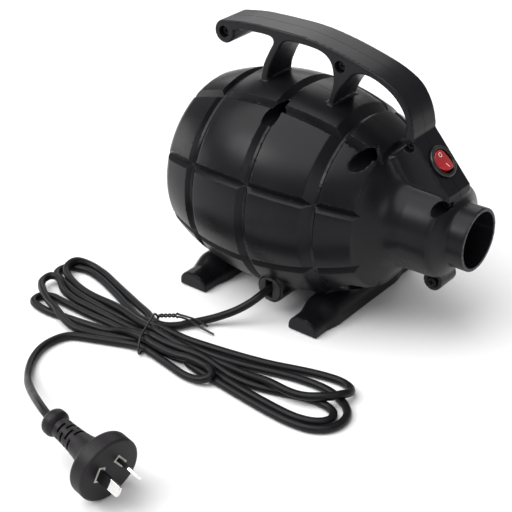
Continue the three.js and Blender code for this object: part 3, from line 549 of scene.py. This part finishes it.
def foot_bar(station, y, z, foot):
    swell = np.clip((52 - np.abs(y)) / 16, 0, 1)
    swell = swell * swell * (3 - 2 * swell)
    half = FOOT["width"] / 2 * (1 + swell * (FOOT_ROOT["width"] / FOOT["width"] - 1))
    tall = FOOT["height"] * (1 + swell * (FOOT_ROOT["height"] / FOOT["height"] - 1))
    upright = FOOT["side"] * tall / FOOT["height"]
    above = np.maximum(z - FOOT["clear"] - upright, 0)
    crown = np.sqrt(((station - foot) / half) ** 2 + (above / (tall - upright)) ** 2) - 1
    bar = smax(crown * np.minimum(half, tall - upright), FOOT["clear"] - z, 0.8)
    return smax(bar, np.abs(y) - FOOT["half"], 1.6)


def housing_field(x, y, z):
    station = LENGTH / 2 - x
    rise = z - AXIS
    radial = np.hypot(y, rise)
    outer = grooved_barrel(station, y, rise, radial)
    under_leg = np.clip((70 - station) / 8, 0, 1) * np.clip((station - 48) / 8, 0, 1)
    under_leg *= np.clip((62 - rise) / 6, 0, 1)
    body = smin(outer, handle_bar(station, y, rise), FILLET["handle"] + FILLET["leg"] * under_leg)
    for foot in FEET:
        body = smin(body, foot_bar(station, y, z, foot), FILLET["foot"])
    body = np.maximum(body, FOOT["clear"] - z)
    lug = rod_y(x, y, z, *SCREWS["neck_lower"][:2], LUG["radius"], -LUG["half"], LUG["half"], 1.2)
    body = smin(body, lug, FILLET["lug"])
    boss = rod_y(x, y, z, GLAND["station"], GLAND["rise"], GLAND["radius"], GLAND["end"], -30, 1.2)
    body = smin(body, boss, FILLET["gland"])
    body = smax(body, -cavity_at(station, radial), 0.6)
    for name, (at, up, recess) in SCREWS.items():
        if recess > 5 or name == "neck_upper":
            boss = rod_y(x, y, z, at, up, recess + 1.9, -45, 45)
            body = np.minimum(body, np.maximum(boss, outer + 0.6))
    body = smax(body, -np.maximum(radial - NOZZLE["bore"], station - 30), 0.5)
    seat = np.maximum(INLET["front"] - station, station - INLET["rear"])
    body = np.maximum(body, -np.maximum(radial - INLET["seat"], seat))
    body = smax(body, -np.maximum(radial - INLET["mouth"], INLET["lip"] - station), 0.5)
    for at, up, recess in SCREWS.values():
        body = smax(body, -rod_y(x, y, z, at, up, recess, -90, SCREW["seat"]), 0.5)
        body = np.maximum(body, -rod_y(x, y, z, at, up, SCREW["bore"], -12, SCREW["floor"]))
    gland = (GLAND["station"], GLAND["rise"])
    body = smax(body, -rod_y(x, y, z, *gland, GLAND["bush"] + GAP, -70, -46), 0.5)
    body = np.maximum(body, -rod_y(x, y, z, *gland, GLAND["hole"], -50, -20))
    out = (x - PANEL_MIDDLE[0]) * PANEL_OUT[0] + (z - PANEL_MIDDLE[1]) * PANEL_OUT[1]
    down = (x - PANEL_MIDDLE[0]) * PANEL_DOWN[0] + (z - PANEL_MIDDLE[1]) * PANEL_DOWN[1]
    hole = np.maximum(-PANEL_HOLE["depth"] - out, out - 6)
    body = np.maximum(body, -np.maximum(np.hypot(down, y) - PANEL_HOLE["radius"], hole))
    for foot in FEET:
        for pad in (-PAD["middle"], PAD["middle"]):
            long_way, wide_way = np.abs(station - foot) - PAD["half_long"], np.abs(y - pad) - PAD["half_wide"]
            body = np.maximum(body, -np.maximum(np.maximum(long_way, wide_way), z - PAD["top"]))
    return body


def half_of(vertices, quads, name, keep):
    """One half of the housing: the whole cut along the seam, with the cut closed."""
    piece = mesh_piece(name, vertices, quads)
    work = bmesh.new()
    work.from_mesh(piece.data)
    seam = GAP / 2 * MM * keep
    geometry = work.verts[:] + work.edges[:] + work.faces[:]
    cut = bmesh.ops.bisect_plane(
        work, geom=geometry, dist=1e-7, plane_co=(0, seam, 0), plane_no=(0, -keep, 0), clear_outer=True
    )
    rim = [e for e in cut["geom_cut"] if isinstance(e, bmesh.types.BMEdge)]
    inward = (0, -keep, 0)
    filled = bmesh.ops.triangle_fill(work, use_beauty=True, use_dissolve=False, edges=rim, normal=inward)
    for item in filled["geom"]:
        if isinstance(item, bmesh.types.BMFace):
            item.smooth = False
    for edge in rim:
        edge.smooth = False
    work.to_mesh(piece.data)
    work.free()
    return piece


HOUSING_STEP = 1.0
housing_vertices, housing_quads = skin(housing_field, (-116, -82, -3), (116, 82, 201), HOUSING_STEP)
shell_left = half_of(housing_vertices, housing_quads, "shell_left", -1)
shell_right = half_of(housing_vertices, housing_quads, "shell_right", 1)


def face_outwards(piece, crease=None):
    """Turns the faces the right way out, and marks the edges sharper than the crease angle."""
    work = bmesh.new()
    work.from_mesh(piece.data)
    bmesh.ops.recalc_face_normals(work, faces=work.faces)
    if crease:
        for edge in work.edges:
            edge.smooth = edge.calc_face_angle(0) < math.radians(crease)
    work.to_mesh(piece.data)
    work.free()
    return piece


# ---------------------------------------------------------------- turned pieces
def turned_piece(name, profile, segments, place):
    """A closed solid turned from (radius, height) points, put in place by place(x, y, h) in millimetres."""
    vertices, faces, rings = [], [], []
    for radius, height in profile:
        if radius < 1e-6:
            rings.append([len(vertices)])
            vertices.append(place(0, 0, height))
        else:
            ring = []
            for i in range(segments):
                angle = 2 * math.pi * i / segments
                ring.append(len(vertices))
                vertices.append(place(radius * math.cos(angle), radius * math.sin(angle), height))
            rings.append(ring)
    pairs = list(zip(rings, rings[1:]))
    if len(rings[0]) > 1:
        pairs.append((rings[-1], rings[0]))
    for a, b in pairs:
        for i in range(segments):
            j = (i + 1) % segments
            if len(a) == 1:
                faces.append((a[0], b[i], b[j]))
            elif len(b) == 1:
                faces.append((a[i], a[j], b[0]))
            else:
                faces.append((a[i], a[j], b[j], b[i]))
    return face_outwards(mesh_piece(name, vertices, faces), 40)


def on_panel(u, v, w):
    """From the panel's own millimetres, down its slope, across and out, to the blower's."""
    x, z = PANEL_MIDDLE + u * PANEL_DOWN + w * PANEL_OUT
    return (x, v, z)


bezel = turned_piece(
    "switch_bezel",
    [
        (0, -17), (9.4, -17), (9.8, -16.6), (9.8, GAP), (11.1, GAP), (11.5, 0.6), (11.5, 1.3),
        (11.3, 1.8), (10.9, 2.15), (10.3, 2.3), (9.6, 2.3), (9.1, 2.1), (8.85, 1.7), (8.8, 1.2),
        (8.8, -8), (0, -8),
    ],
    72,
    on_panel,
)

ROCKER = {"radius": 7.6, "pivot": -1.5, "lean": math.radians(-8)}


def rocker_top(u, v=0.0):
    return 1.9 + 1.6 * (u / ROCKER["radius"]) ** 2 - 0.012 * v * v


def rocker_point(u, v, w):
    """Leans the rocker about its pivot, then puts it on the panel."""
    c, s = math.cos(ROCKER["lean"]), math.sin(ROCKER["lean"])
    w = w - ROCKER["pivot"]
    return on_panel(u * c + w * s, v, -u * s + w * c + ROCKER["pivot"])


def rocker_field(u, v, w):
    body = smax(np.hypot(u, v) - ROCKER["radius"], w - rocker_top(u, v), 0.9)
    return smax(body, np.maximum(-4.4 - w, (np.abs(u) - 3.4) * 0.55 - 4.4 - w), 0.5)


rocker_vertices, rocker_quads = skin(rocker_field, (-8.4, -8.4, -5.4), (8.4, 8.4, 4.6), 0.3)
rocker_vertices = [rocker_point(*v) for v in rocker_vertices]
rocker = mesh_piece("rocker_cap", rocker_vertices, rocker_quads)


def mark(name, rings, closed):
    """A thin raised mark on the rocker. rings are matching inner and outer (u, v) lines."""
    inner, outer = rings
    vertices = []
    for sink, line in ((0.07, inner), (0.07, outer), (-0.25, outer), (-0.25, inner)):
        vertices += [rocker_point(u, v, rocker_top(u, v) + sink) for u, v in line]
    n = len(inner)
    faces = []
    last = n if closed else n - 1
    for k in range(4):
        for i in range(last):
            j = (i + 1) % n
            a, b = k * n, (k + 1) % 4 * n
            faces.append((a + i, b + i, b + j, a + j))
    if not closed:
        faces += [(0, 3 * n, 2 * n, n), (n - 1, 2 * n - 1, 3 * n - 1, 4 * n - 1)]
    return face_outwards(mesh_piece(name, vertices, faces))


def circle(middle, radius, steps=40):
    return [
        (middle + radius * math.cos(2 * math.pi * i / steps), radius * math.sin(2 * math.pi * i / steps))
        for i in range(steps)
    ]


mark_off = mark("rocker_mark_off", (circle(-4.2, 1.15), circle(-4.2, 1.6)), True)
bar_line = np.linspace(2.6, 5.8, 9)
mark_on = mark("rocker_mark_on", ([(u, -0.24) for u in bar_line], [(u, 0.24) for u in bar_line]), False)


# ---------------------------------------------------------------- cord bush
def bush_field(x, y, z):
    u, w = x - (LENGTH / 2 - GLAND["station"]), z - (AXIS + GLAND["rise"])
    radial = np.hypot(u, w)
    body = smax(radial - GLAND["bush"], np.maximum(-58.4 - y, y + 46.3), 2.0)
    slot = smax(np.abs(u) - 3.1, np.maximum(np.abs(w - 0.6) - 6.6, y + 53.4), 0.5)
    body = smax(body, -slot, 0.5)
    return smax(body, -(radial - 3.15), 0.3)


bush_vertices, bush_quads = skin(bush_field, (-29.5, -59.6, 11.5), (-7.5, -45.2, 33.5), 0.4)
bush = mesh_piece("cord_bush_moulded", bush_vertices, bush_quads)

# ---------------------------------------------------------------- plug
PLUG = {"radius": 21.4, "flat": 20.7, "lean": math.radians(27.6), "thick": 11.0, "length": 57.0}
PIN = {"length": 18.9, "width": 7.0, "thick": 1.8, "pitch": 15.2, "rise": 3.3, "lean": math.radians(30)}
PLUG_PLACE = Matrix.Translation((30.8, -274.2, 21.6)) @ Euler(
    (math.radians(7.2), math.radians(7.6), math.radians(-7.9)), "XYZ"
).to_matrix().to_4x4()
BOOT_OUTLINE = [
    (4, -5), (4, 13), (11, 13.4), (13, 12.6), (16, 11.2), (20, 9.8), (25, 8.6), (31, 7.7), (38, 7.1),
    (46.5, 6.7), (46.5, -5),
]
boot_at = table_of(BOOT_OUTLINE, (-5, 80), (0, 30), 0.25)


def plug_field(x, y, z):
    back = -x
    radial = np.hypot(y, z)
    flat = y * math.sin(PLUG["lean"]) - z * math.cos(PLUG["lean"]) - PLUG["flat"]
    disc = smax(radial - PLUG["radius"], flat, 1.5)
    face = x - 0.9 * (1 - (radial / PLUG["radius"]) ** 2)
    disc = smax(disc, face, 1.6)
    disc = smax(disc, back - PLUG["thick"] + 0.008 * radial**2 - 3.6, 2.2)
    bulb = np.hypot(np.maximum(np.abs(back - 52) - 0.9, 0), np.maximum(radial - 4.9, 0)) - 3.9
    body = smin(smin(disc, boot_at(back, radial), 5), bulb, 1.6)
    around = np.degrees(np.arctan2(z, y))
    for i in range(4):
        turn = (around + 20 + 45 * (i % 2) + 45) % 90 - 45
        slot = np.maximum(np.abs(back - 30.5 - 3.9 * i) - 0.8, 5.1 - radial)
        slot = np.maximum(slot, (np.abs(turn) - 31) * 0.12)
        body = smax(body, -slot, 0.3)
    for side in (1, -1):
        lean = side * PIN["lean"]
        a = y - side * PIN["pitch"] / 2
        b = z - PIN["rise"]
        thin = np.abs(a * math.cos(lean) + b * math.sin(lean))
        wide = np.abs(-a * math.sin(lean) + b * math.cos(lean))
        well = np.maximum(np.maximum(thin - 2.75, wide - 5.3), back - 1.3)
        slit = np.maximum(np.maximum(thin - 1.25, wide - 3.85), back - 2.3)
        body = np.maximum(np.maximum(body, -well), -slit)
    return smax(body, -np.maximum(radial - 3.0, PLUG["length"] - 10 - back), 0.4)


plug_vertices, plug_quads = skin(plug_field, (-58, -22.6, -22.6), (2.6, 22.6, 22.6), 0.6)
plug = mesh_piece("plug_moulding", plug_vertices, plug_quads)
plug.data.transform(Matrix.Scale(MM, 4) @ PLUG_PLACE @ Matrix.Scale(1 / MM, 4))


def pin_point(side, along, level, up):
    """From a pin's own millimetres, along it, through it and up its width, to the blower's."""
    lean = Matrix.Rotation(side * PIN["lean"], 4, "X")
    spot = lean @ Vector((along, level, up)) + Vector((0, side * PIN["pitch"] / 2, PIN["rise"]))
    return PLUG_PLACE @ spot


def break_edges(piece, width, angle):
    bevel = piece.modifiers.new("edges", "BEVEL")
    bevel.width = width * MM
    bevel.segments = 2
    bevel.limit_method = "ANGLE"
    bevel.angle_limit = math.radians(angle)


def pin_well_painted_highlight(name, side):
    """A pale frame in the well round the pin's root, whose pale colour is a painted highlight on the well's
    edges.
    """
    vertices = []
    for along, grow in ((-1.2, 1.55), (0.95, 1.55), (0.95, 0.45), (-1.2, 0.45)):
        half_thick, half_wide = PIN["thick"] / 2 + grow, PIN["width"] / 2 + grow
        for level, up in ((-1, -1), (1, -1), (1, 1), (-1, 1)):
            vertices.append(pin_point(side, along, level * half_thick, up * half_wide))
    faces = []
    for k in range(4):
        for i in range(4):
            a, b = 4 * k, 4 * ((k + 1) % 4)
            faces.append((a + i, b + i, b + (i + 1) % 4, a + (i + 1) % 4))
    return closed_piece(name, vertices, faces, 0.15)


def closed_piece(name, vertices, faces, edge):
    """A piece from its own vertices and faces, turned the right way out, with its edges broken."""
    piece = face_outwards(mesh_piece(name, vertices, faces), 40)
    break_edges(piece, edge, 50)
    return piece


def blade(name, side, start, end, width, thick, round_end):
    """A flat pin, or the sleeve round it, drawn along +X and laid on the plug."""
    half, steps = width / 2, 8
    outline = [(start, -half), (end - round_end, -half)]
    for i in range(1, steps):
        angle = -math.pi / 2 + math.pi * i / steps
        outline.append((end - round_end + round_end * math.cos(angle), half * math.sin(angle)))
    outline += [(end - round_end, half), (start, half)]
    vertices = []
    for level in (-thick / 2, thick / 2):
        vertices += [pin_point(side, along, level, up) for along, up in outline]
    n = len(outline)
    faces = [tuple(range(n)), tuple(range(2 * n - 1, n - 1, -1))]
    faces += [(i, n + i, n + (i + 1) % n, (i + 1) % n) for i in range(n)]
    return closed_piece(name, vertices, faces, 0.22)


pins, sleeves, well_highlights = [], [], []
for label, side in (("active", 1), ("neutral", -1)):
    pins.append(blade(f"pin_{label}", side, -1.7, PIN["length"], PIN["width"], PIN["thick"], 1.2))
    sleeve_size = (PIN["width"] + 0.4, PIN["thick"] + 0.4)
    sleeves.append(blade(f"pin_sleeve_{label}", side, -1.2, 10.4, *sleeve_size, 0.5))
    # The pale frame round each pin's root is a painted highlight on the well's edges.
    well_highlights.append(pin_well_painted_highlight(f"pin_well_painted_highlight_{label}", side))


# ---------------------------------------------------------------- screws
def screw_field(x, y, z):
    radial = np.hypot(x, z)
    seat = -9.3
    head = smax(radial - 3.5, np.maximum(seat - 2.4 - y, y - seat), 0.8)
    turns = 2 * math.pi * y / 1.25
    thread = 1.5 + 0.18 * np.cos(turns - np.arctan2(z, x))
    shank = smax(radial - thread, np.maximum(seat - 1 - y, y - 10.9), 0.5)
    body = np.minimum(head, shank)
    deep = 0.55 * (y - seat + 2.4)
    upright = np.maximum(np.abs(x) - 0.5, np.abs(z) - 2.2 + deep)
    level = np.maximum(np.abs(z) - 0.5, np.abs(x) - 2.2 + deep)
    wings = np.minimum(upright, level)
    cross = np.maximum(np.minimum(wings, radial - 1.0 + deep), y - seat + 0.7)
    return smax(body, -cross, 0.15)


screw_vertices, screw_quads = skin(screw_field, (-4, -12.4, -4), (4, 11.6, 4), 0.3)
screws = {}
for name, (station, rise, _) in SCREWS.items():
    place = np.array((LENGTH / 2 - station, 0, AXIS + rise))
    screws[name] = mesh_piece(f"screw_{name}_cross", screw_vertices + place, screw_quads)


# ---------------------------------------------------------------- materials
def links(material):
    material.use_nodes = True
    tree = material.node_tree
    shader = tree.nodes["Principled BSDF"]
    return tree, shader


def node(tree, kind, **values):
    made = tree.nodes.new(kind)
    for key, value in values.items():
        if key in made.inputs:
            made.inputs[key].default_value = value
        else:
            setattr(made, key, value)
    return made


def ramp(tree, source, stops):
    made = tree.nodes.new("ShaderNodeValToRGB")
    while len(made.color_ramp.elements) < len(stops):
        made.color_ramp.elements.new(0.5)
    for element, (position, colour) in zip(made.color_ramp.elements, stops):
        element.position = position
        element.color = (*colour, 1) if len(colour) == 3 else colour
    tree.links.new(source, made.inputs["Fac"])
    return made


def shade(c, k):
    return tuple(min(1.0, v * k) for v in c)


def surface(
    name, colour, rough, metal=0.0, grain=900.0, bump=0.1, depth=0.05, wear=0.0, worn=None,
    stretch=None, coat=0.0, sheen=0.0, patch=35.0, ior=1.5,
):
    """A procedural surface: fine grain, slow patches of tone and gloss, and worn edges."""
    material = bpy.data.materials.new(name)
    tree, shader = links(material)
    spot = tree.nodes.new("ShaderNodeTexCoord").outputs["Object"]
    if stretch:
        mapping = node(tree, "ShaderNodeMapping")
        mapping.inputs["Scale"].default_value = stretch
        tree.links.new(spot, mapping.inputs["Vector"])
        fine_spot = mapping.outputs["Vector"]
    else:
        fine_spot = spot
    fine = node(tree, "ShaderNodeTexNoise", Scale=grain, Detail=3.0, Roughness=0.6)
    slow = node(tree, "ShaderNodeTexNoise", Scale=patch, Detail=4.0, Roughness=0.55)
    tree.links.new(fine_spot, fine.inputs["Vector"])
    tree.links.new(spot, slow.inputs["Vector"])
    tone = ramp(tree, slow.outputs["Fac"], [(0.3, shade(colour, 0.86)), (0.7, shade(colour, 1.16))])
    colour_out = tone.outputs["Color"]
    if wear > 0:
        edge = tree.nodes.new("ShaderNodeNewGeometry").outputs["Pointiness"]
        ragged = node(tree, "ShaderNodeMath", operation="MULTIPLY_ADD")
        ragged.inputs[1].default_value = 0.05
        tree.links.new(slow.outputs["Fac"], ragged.inputs[0])
        tree.links.new(edge, ragged.inputs[2])
        rubbed = ramp(tree, ragged.outputs[0], [(0.545, (0, 0, 0)), (0.62, (wear, wear, wear))])
        mix = node(tree, "ShaderNodeMix", data_type="RGBA")
        tree.links.new(rubbed.outputs["Color"], mix.inputs["Factor"])
        tree.links.new(colour_out, mix.inputs[6])
        mix.inputs[7].default_value = (*(worn or shade(colour, 3)), 1)
        colour_out = mix.outputs[2]
    tree.links.new(colour_out, shader.inputs["Base Color"])
    gloss = node(tree, "ShaderNodeMapRange")
    gloss.inputs["To Min"].default_value, gloss.inputs["To Max"].default_value = rough
    gloss.inputs["From Min"].default_value, gloss.inputs["From Max"].default_value = 0.3, 0.7
    tree.links.new(slow.outputs["Fac"], gloss.inputs["Value"])
    tree.links.new(gloss.outputs["Result"], shader.inputs["Roughness"])
    relief = node(tree, "ShaderNodeBump", Strength=bump, Distance=depth * MM)
    tree.links.new(fine.outputs["Fac"], relief.inputs["Height"])
    tree.links.new(relief.outputs["Normal"], shader.inputs["Normal"])
    shader.inputs["Metallic"].default_value = metal
    shader.inputs["IOR"].default_value = ior
    if coat:
        shader.inputs["Coat Weight"].default_value = coat
        shader.inputs["Coat Roughness"].default_value = 0.12
    if sheen:
        shader.inputs["Sheen Weight"].default_value = sheen
    return material


SHELL = surface(
    "shell_black", (0.006, 0.006, 0.0075), (0.26, 0.34), grain=1500, bump=0.2, depth=0.04, wear=0.5,
    worn=(0.02, 0.02, 0.024), ior=1.27,
)
PVC = surface(
    "cord_pvc", (0.006, 0.006, 0.007), (0.32, 0.45), grain=700, bump=0.25, depth=0.08, patch=120, ior=1.28
)
PLUG_PVC = surface(
    "plug_pvc", (0.012, 0.0105, 0.012), (0.38, 0.5), grain=1100, bump=0.3, depth=0.06, wear=0.4, ior=1.3
)
RUBBER = surface(
    "soft_rubber", (0.009, 0.009, 0.01), (0.5, 0.62), grain=1300, bump=0.35, depth=0.06, patch=90
)
TIE = surface(
    "tie_plastic", (0.007, 0.007, 0.008), (0.35, 0.5), grain=1500, bump=0.3, depth=0.05, patch=200
)
NYLON = surface("nylon_dark", (0.02, 0.02, 0.022), (0.4, 0.52), grain=1600, bump=0.25, depth=0.04, wear=0.3)
BEZEL = surface(
    "bezel_black", (0.008, 0.008, 0.009), (0.25, 0.34), grain=1800, bump=0.15, depth=0.03, wear=0.3
)
# Pale nylon; on the frames in the pin wells this pale colour is a painted highlight.
PALE_NYLON_AND_HIGHLIGHT = surface("nylon_pale_and_painted_highlight", (0.50, 0.49, 0.45), (0.42, 0.55), grain=1200, bump=0.2, depth=0.04)
RED = surface(
    "rocker_red", (0.40, 0.006, 0.010), (0.16, 0.24), grain=1500, bump=0.08, depth=0.03, coat=0.6,
    wear=0.3, worn=(0.62, 0.05, 0.05),
)
WHITE_MARK = surface(
    "mark_white", (0.78, 0.78, 0.76), (0.35, 0.5), grain=2500, bump=0.2, depth=0.02, patch=400
)
FOAM = surface("foam_dark", (0.035, 0.036, 0.04), (0.9, 1.0), grain=650, bump=1.0, depth=0.8, sheen=0.3)
STEEL = surface(
    "plain_steel", (0.42, 0.43, 0.45), (0.28, 0.42), metal=1.0, grain=500, bump=0.2, depth=0.03,
    stretch=(1, 1, 9), wear=0.3, worn=(0.6, 0.61, 0.62),
)
# Near-black steel for the screws: its dark colour is painted shade, standing in for the shade deep in the
# screw holes.
SCREW_STEEL_PAINTED_SHADE = surface(
    "steel_painted_shade", (0.016, 0.016, 0.018), (0.4, 0.52), metal=1.0, grain=700, bump=0.25,
    depth=0.03, wear=0.5, worn=(0.06, 0.06, 0.064),
)
PLATED = surface(
    "nickel_plate", (0.74, 0.73, 0.71), (0.18, 0.3), metal=1.0, grain=900, bump=0.15, depth=0.02,
    stretch=(1, 8, 1)
)
BRASS = surface("bare_brass", (0.60, 0.42, 0.16), (0.3, 0.42), metal=1.0, grain=800, bump=0.15, depth=0.02)
COPPER = surface(
    "copper_wire", (0.55, 0.22, 0.09), (0.28, 0.4), metal=1.0, grain=420, bump=0.6, depth=0.2,
    stretch=(0.1, 2, 2)
)
CARBON = surface("pressed_carbon", (0.02, 0.02, 0.022), (0.6, 0.75), grain=1400, bump=0.4, depth=0.05)

SLOT_LOOKS = {
    "shell_black": SHELL, "rubber_black": RUBBER, "cord_black": PVC, "tie_black": TIE, "nylon_dark": NYLON,
    "nylon_light": PALE_NYLON_AND_HIGHLIGHT, "rocker_red": RED, "foam_dark": FOAM, "steel": STEEL, "plated": PLATED,
    "brass": BRASS, "copper": COPPER, "carbon": CARBON,
}

node_slots = {row["node"]: row["material_slot"] for row in frame["record"]["subparts"]}
for name, cad in frame["nodes"].items():
    look = SLOT_LOOKS[node_slots[name]]
    if not cad.material_slots:
        cad.data.materials.append(look)
    for slot in cad.material_slots:
        slot.material = look
    break_edges(cad, 0.25, 35)


def dress(piece, look, body, slot_name, *nodes):
    piece.data.materials.clear()
    piece.data.materials.append(look)
    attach(piece, body)
    if nodes:
        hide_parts(*nodes)


dress(shell_left, SHELL, "blower", "shell_black", "housing_left")
dress(shell_right, SHELL, "blower", "shell_black", "housing_right")
dress(bezel, BEZEL, "blower", "nylon_dark", "switch_body")
dress(rocker, RED, "rocker", "rocker_red", "switch_rocker")
dress(mark_off, WHITE_MARK, "rocker", "nylon_light")
dress(mark_on, WHITE_MARK, "rocker", "nylon_light")
dress(bush, RUBBER, "blower", "rubber_black", "cord_bush")
dress(cord, PVC, "blower", "cord_black", "cord_lead", "cord_hank", "cord_tail")
dress(tie, TIE, "blower", "tie_black", "cord_tie")
dress(plug, PLUG_PVC, "blower", "cord_black", "plug_body")
for pin, sleeve, seat, label in zip(pins, sleeves, well_highlights, ("active", "neutral")):
    dress(pin, PLATED, "blower", "plated", f"plug_pin_{label}")
    dress(sleeve, PVC, "blower", "cord_black")
    dress(seat, PALE_NYLON_AND_HIGHLIGHT, "blower", "nylon_light")
# The screws get the near-black steel, whose dark colour is painted shade for the deep screw holes.
for name, piece in screws.items():
    dress(piece, SCREW_STEEL_PAINTED_SHADE, "blower", "steel", f"screw_{name}")

# ---------------------------------------------------------------- floor, light
floor_mesh = bpy.data.meshes.new("floor")
work = bmesh.new()
bmesh.ops.create_grid(work, x_segments=2, y_segments=2, size=6.0)
work.to_mesh(floor_mesh)
work.free()
floor = bpy.data.objects.new("floor", floor_mesh)
bpy.context.scene.collection.objects.link(floor)
FLOOR_LOOK = bpy.data.materials.new("floor")
floor_tree, floor_shader = links(FLOOR_LOOK)
floor_shader.inputs["Base Color"].default_value = (0.93, 0.93, 0.93, 1)
floor_shader.inputs["Roughness"].default_value = 0.85
floor_mesh.materials.append(FLOOR_LOOK)

world = bpy.data.worlds.new("studio")
bpy.context.scene.world = world
world.use_nodes = True
world.node_tree.nodes["Background"].inputs["Color"].default_value = (1, 1, 1, 1)
world.node_tree.nodes["Background"].inputs["Strength"].default_value = 0.3


def aimed(name, data, direction, distance):
    """A lamp that shines at the blower from the direction given."""
    place = Vector(direction).normalized()
    lamp = bpy.data.objects.new(name, data)
    lamp.location = place * distance + Vector((0, -0.05, 0.08))
    lamp.rotation_euler = place.to_track_quat("Z", "Y").to_euler()
    bpy.context.scene.collection.objects.link(lamp)
    return lamp


def soft_box(name, direction, distance, width, height, power):
    data = bpy.data.lights.new(name, "AREA")
    data.shape = "RECTANGLE"
    data.size, data.size_y = width, height
    data.energy = power
    return aimed(name, data, direction, distance)


ceiling = bpy.data.lights.new("ceiling", "SUN")
ceiling.angle = math.radians(70)
ceiling.energy = 3.0
aimed("ceiling", ceiling, (-0.25, -0.35, 0.9), 2.0)
soft_box("back_light", (-0.533, 0.682, 0.5), 1.6, 1.1, 0.9, 5)
soft_box("left_light", (-0.5, -0.62, 0.62), 1.5, 0.6, 0.45, 4.5)
soft_box("low_light", (-0.95, -0.25, 0.12), 1.4, 0.9, 0.4, 3)
soft_box("right_light", (0.75, -0.55, 0.35), 1.6, 0.7, 0.7, 3)

bpy.context.scene.view_settings.view_transform = "Standard"
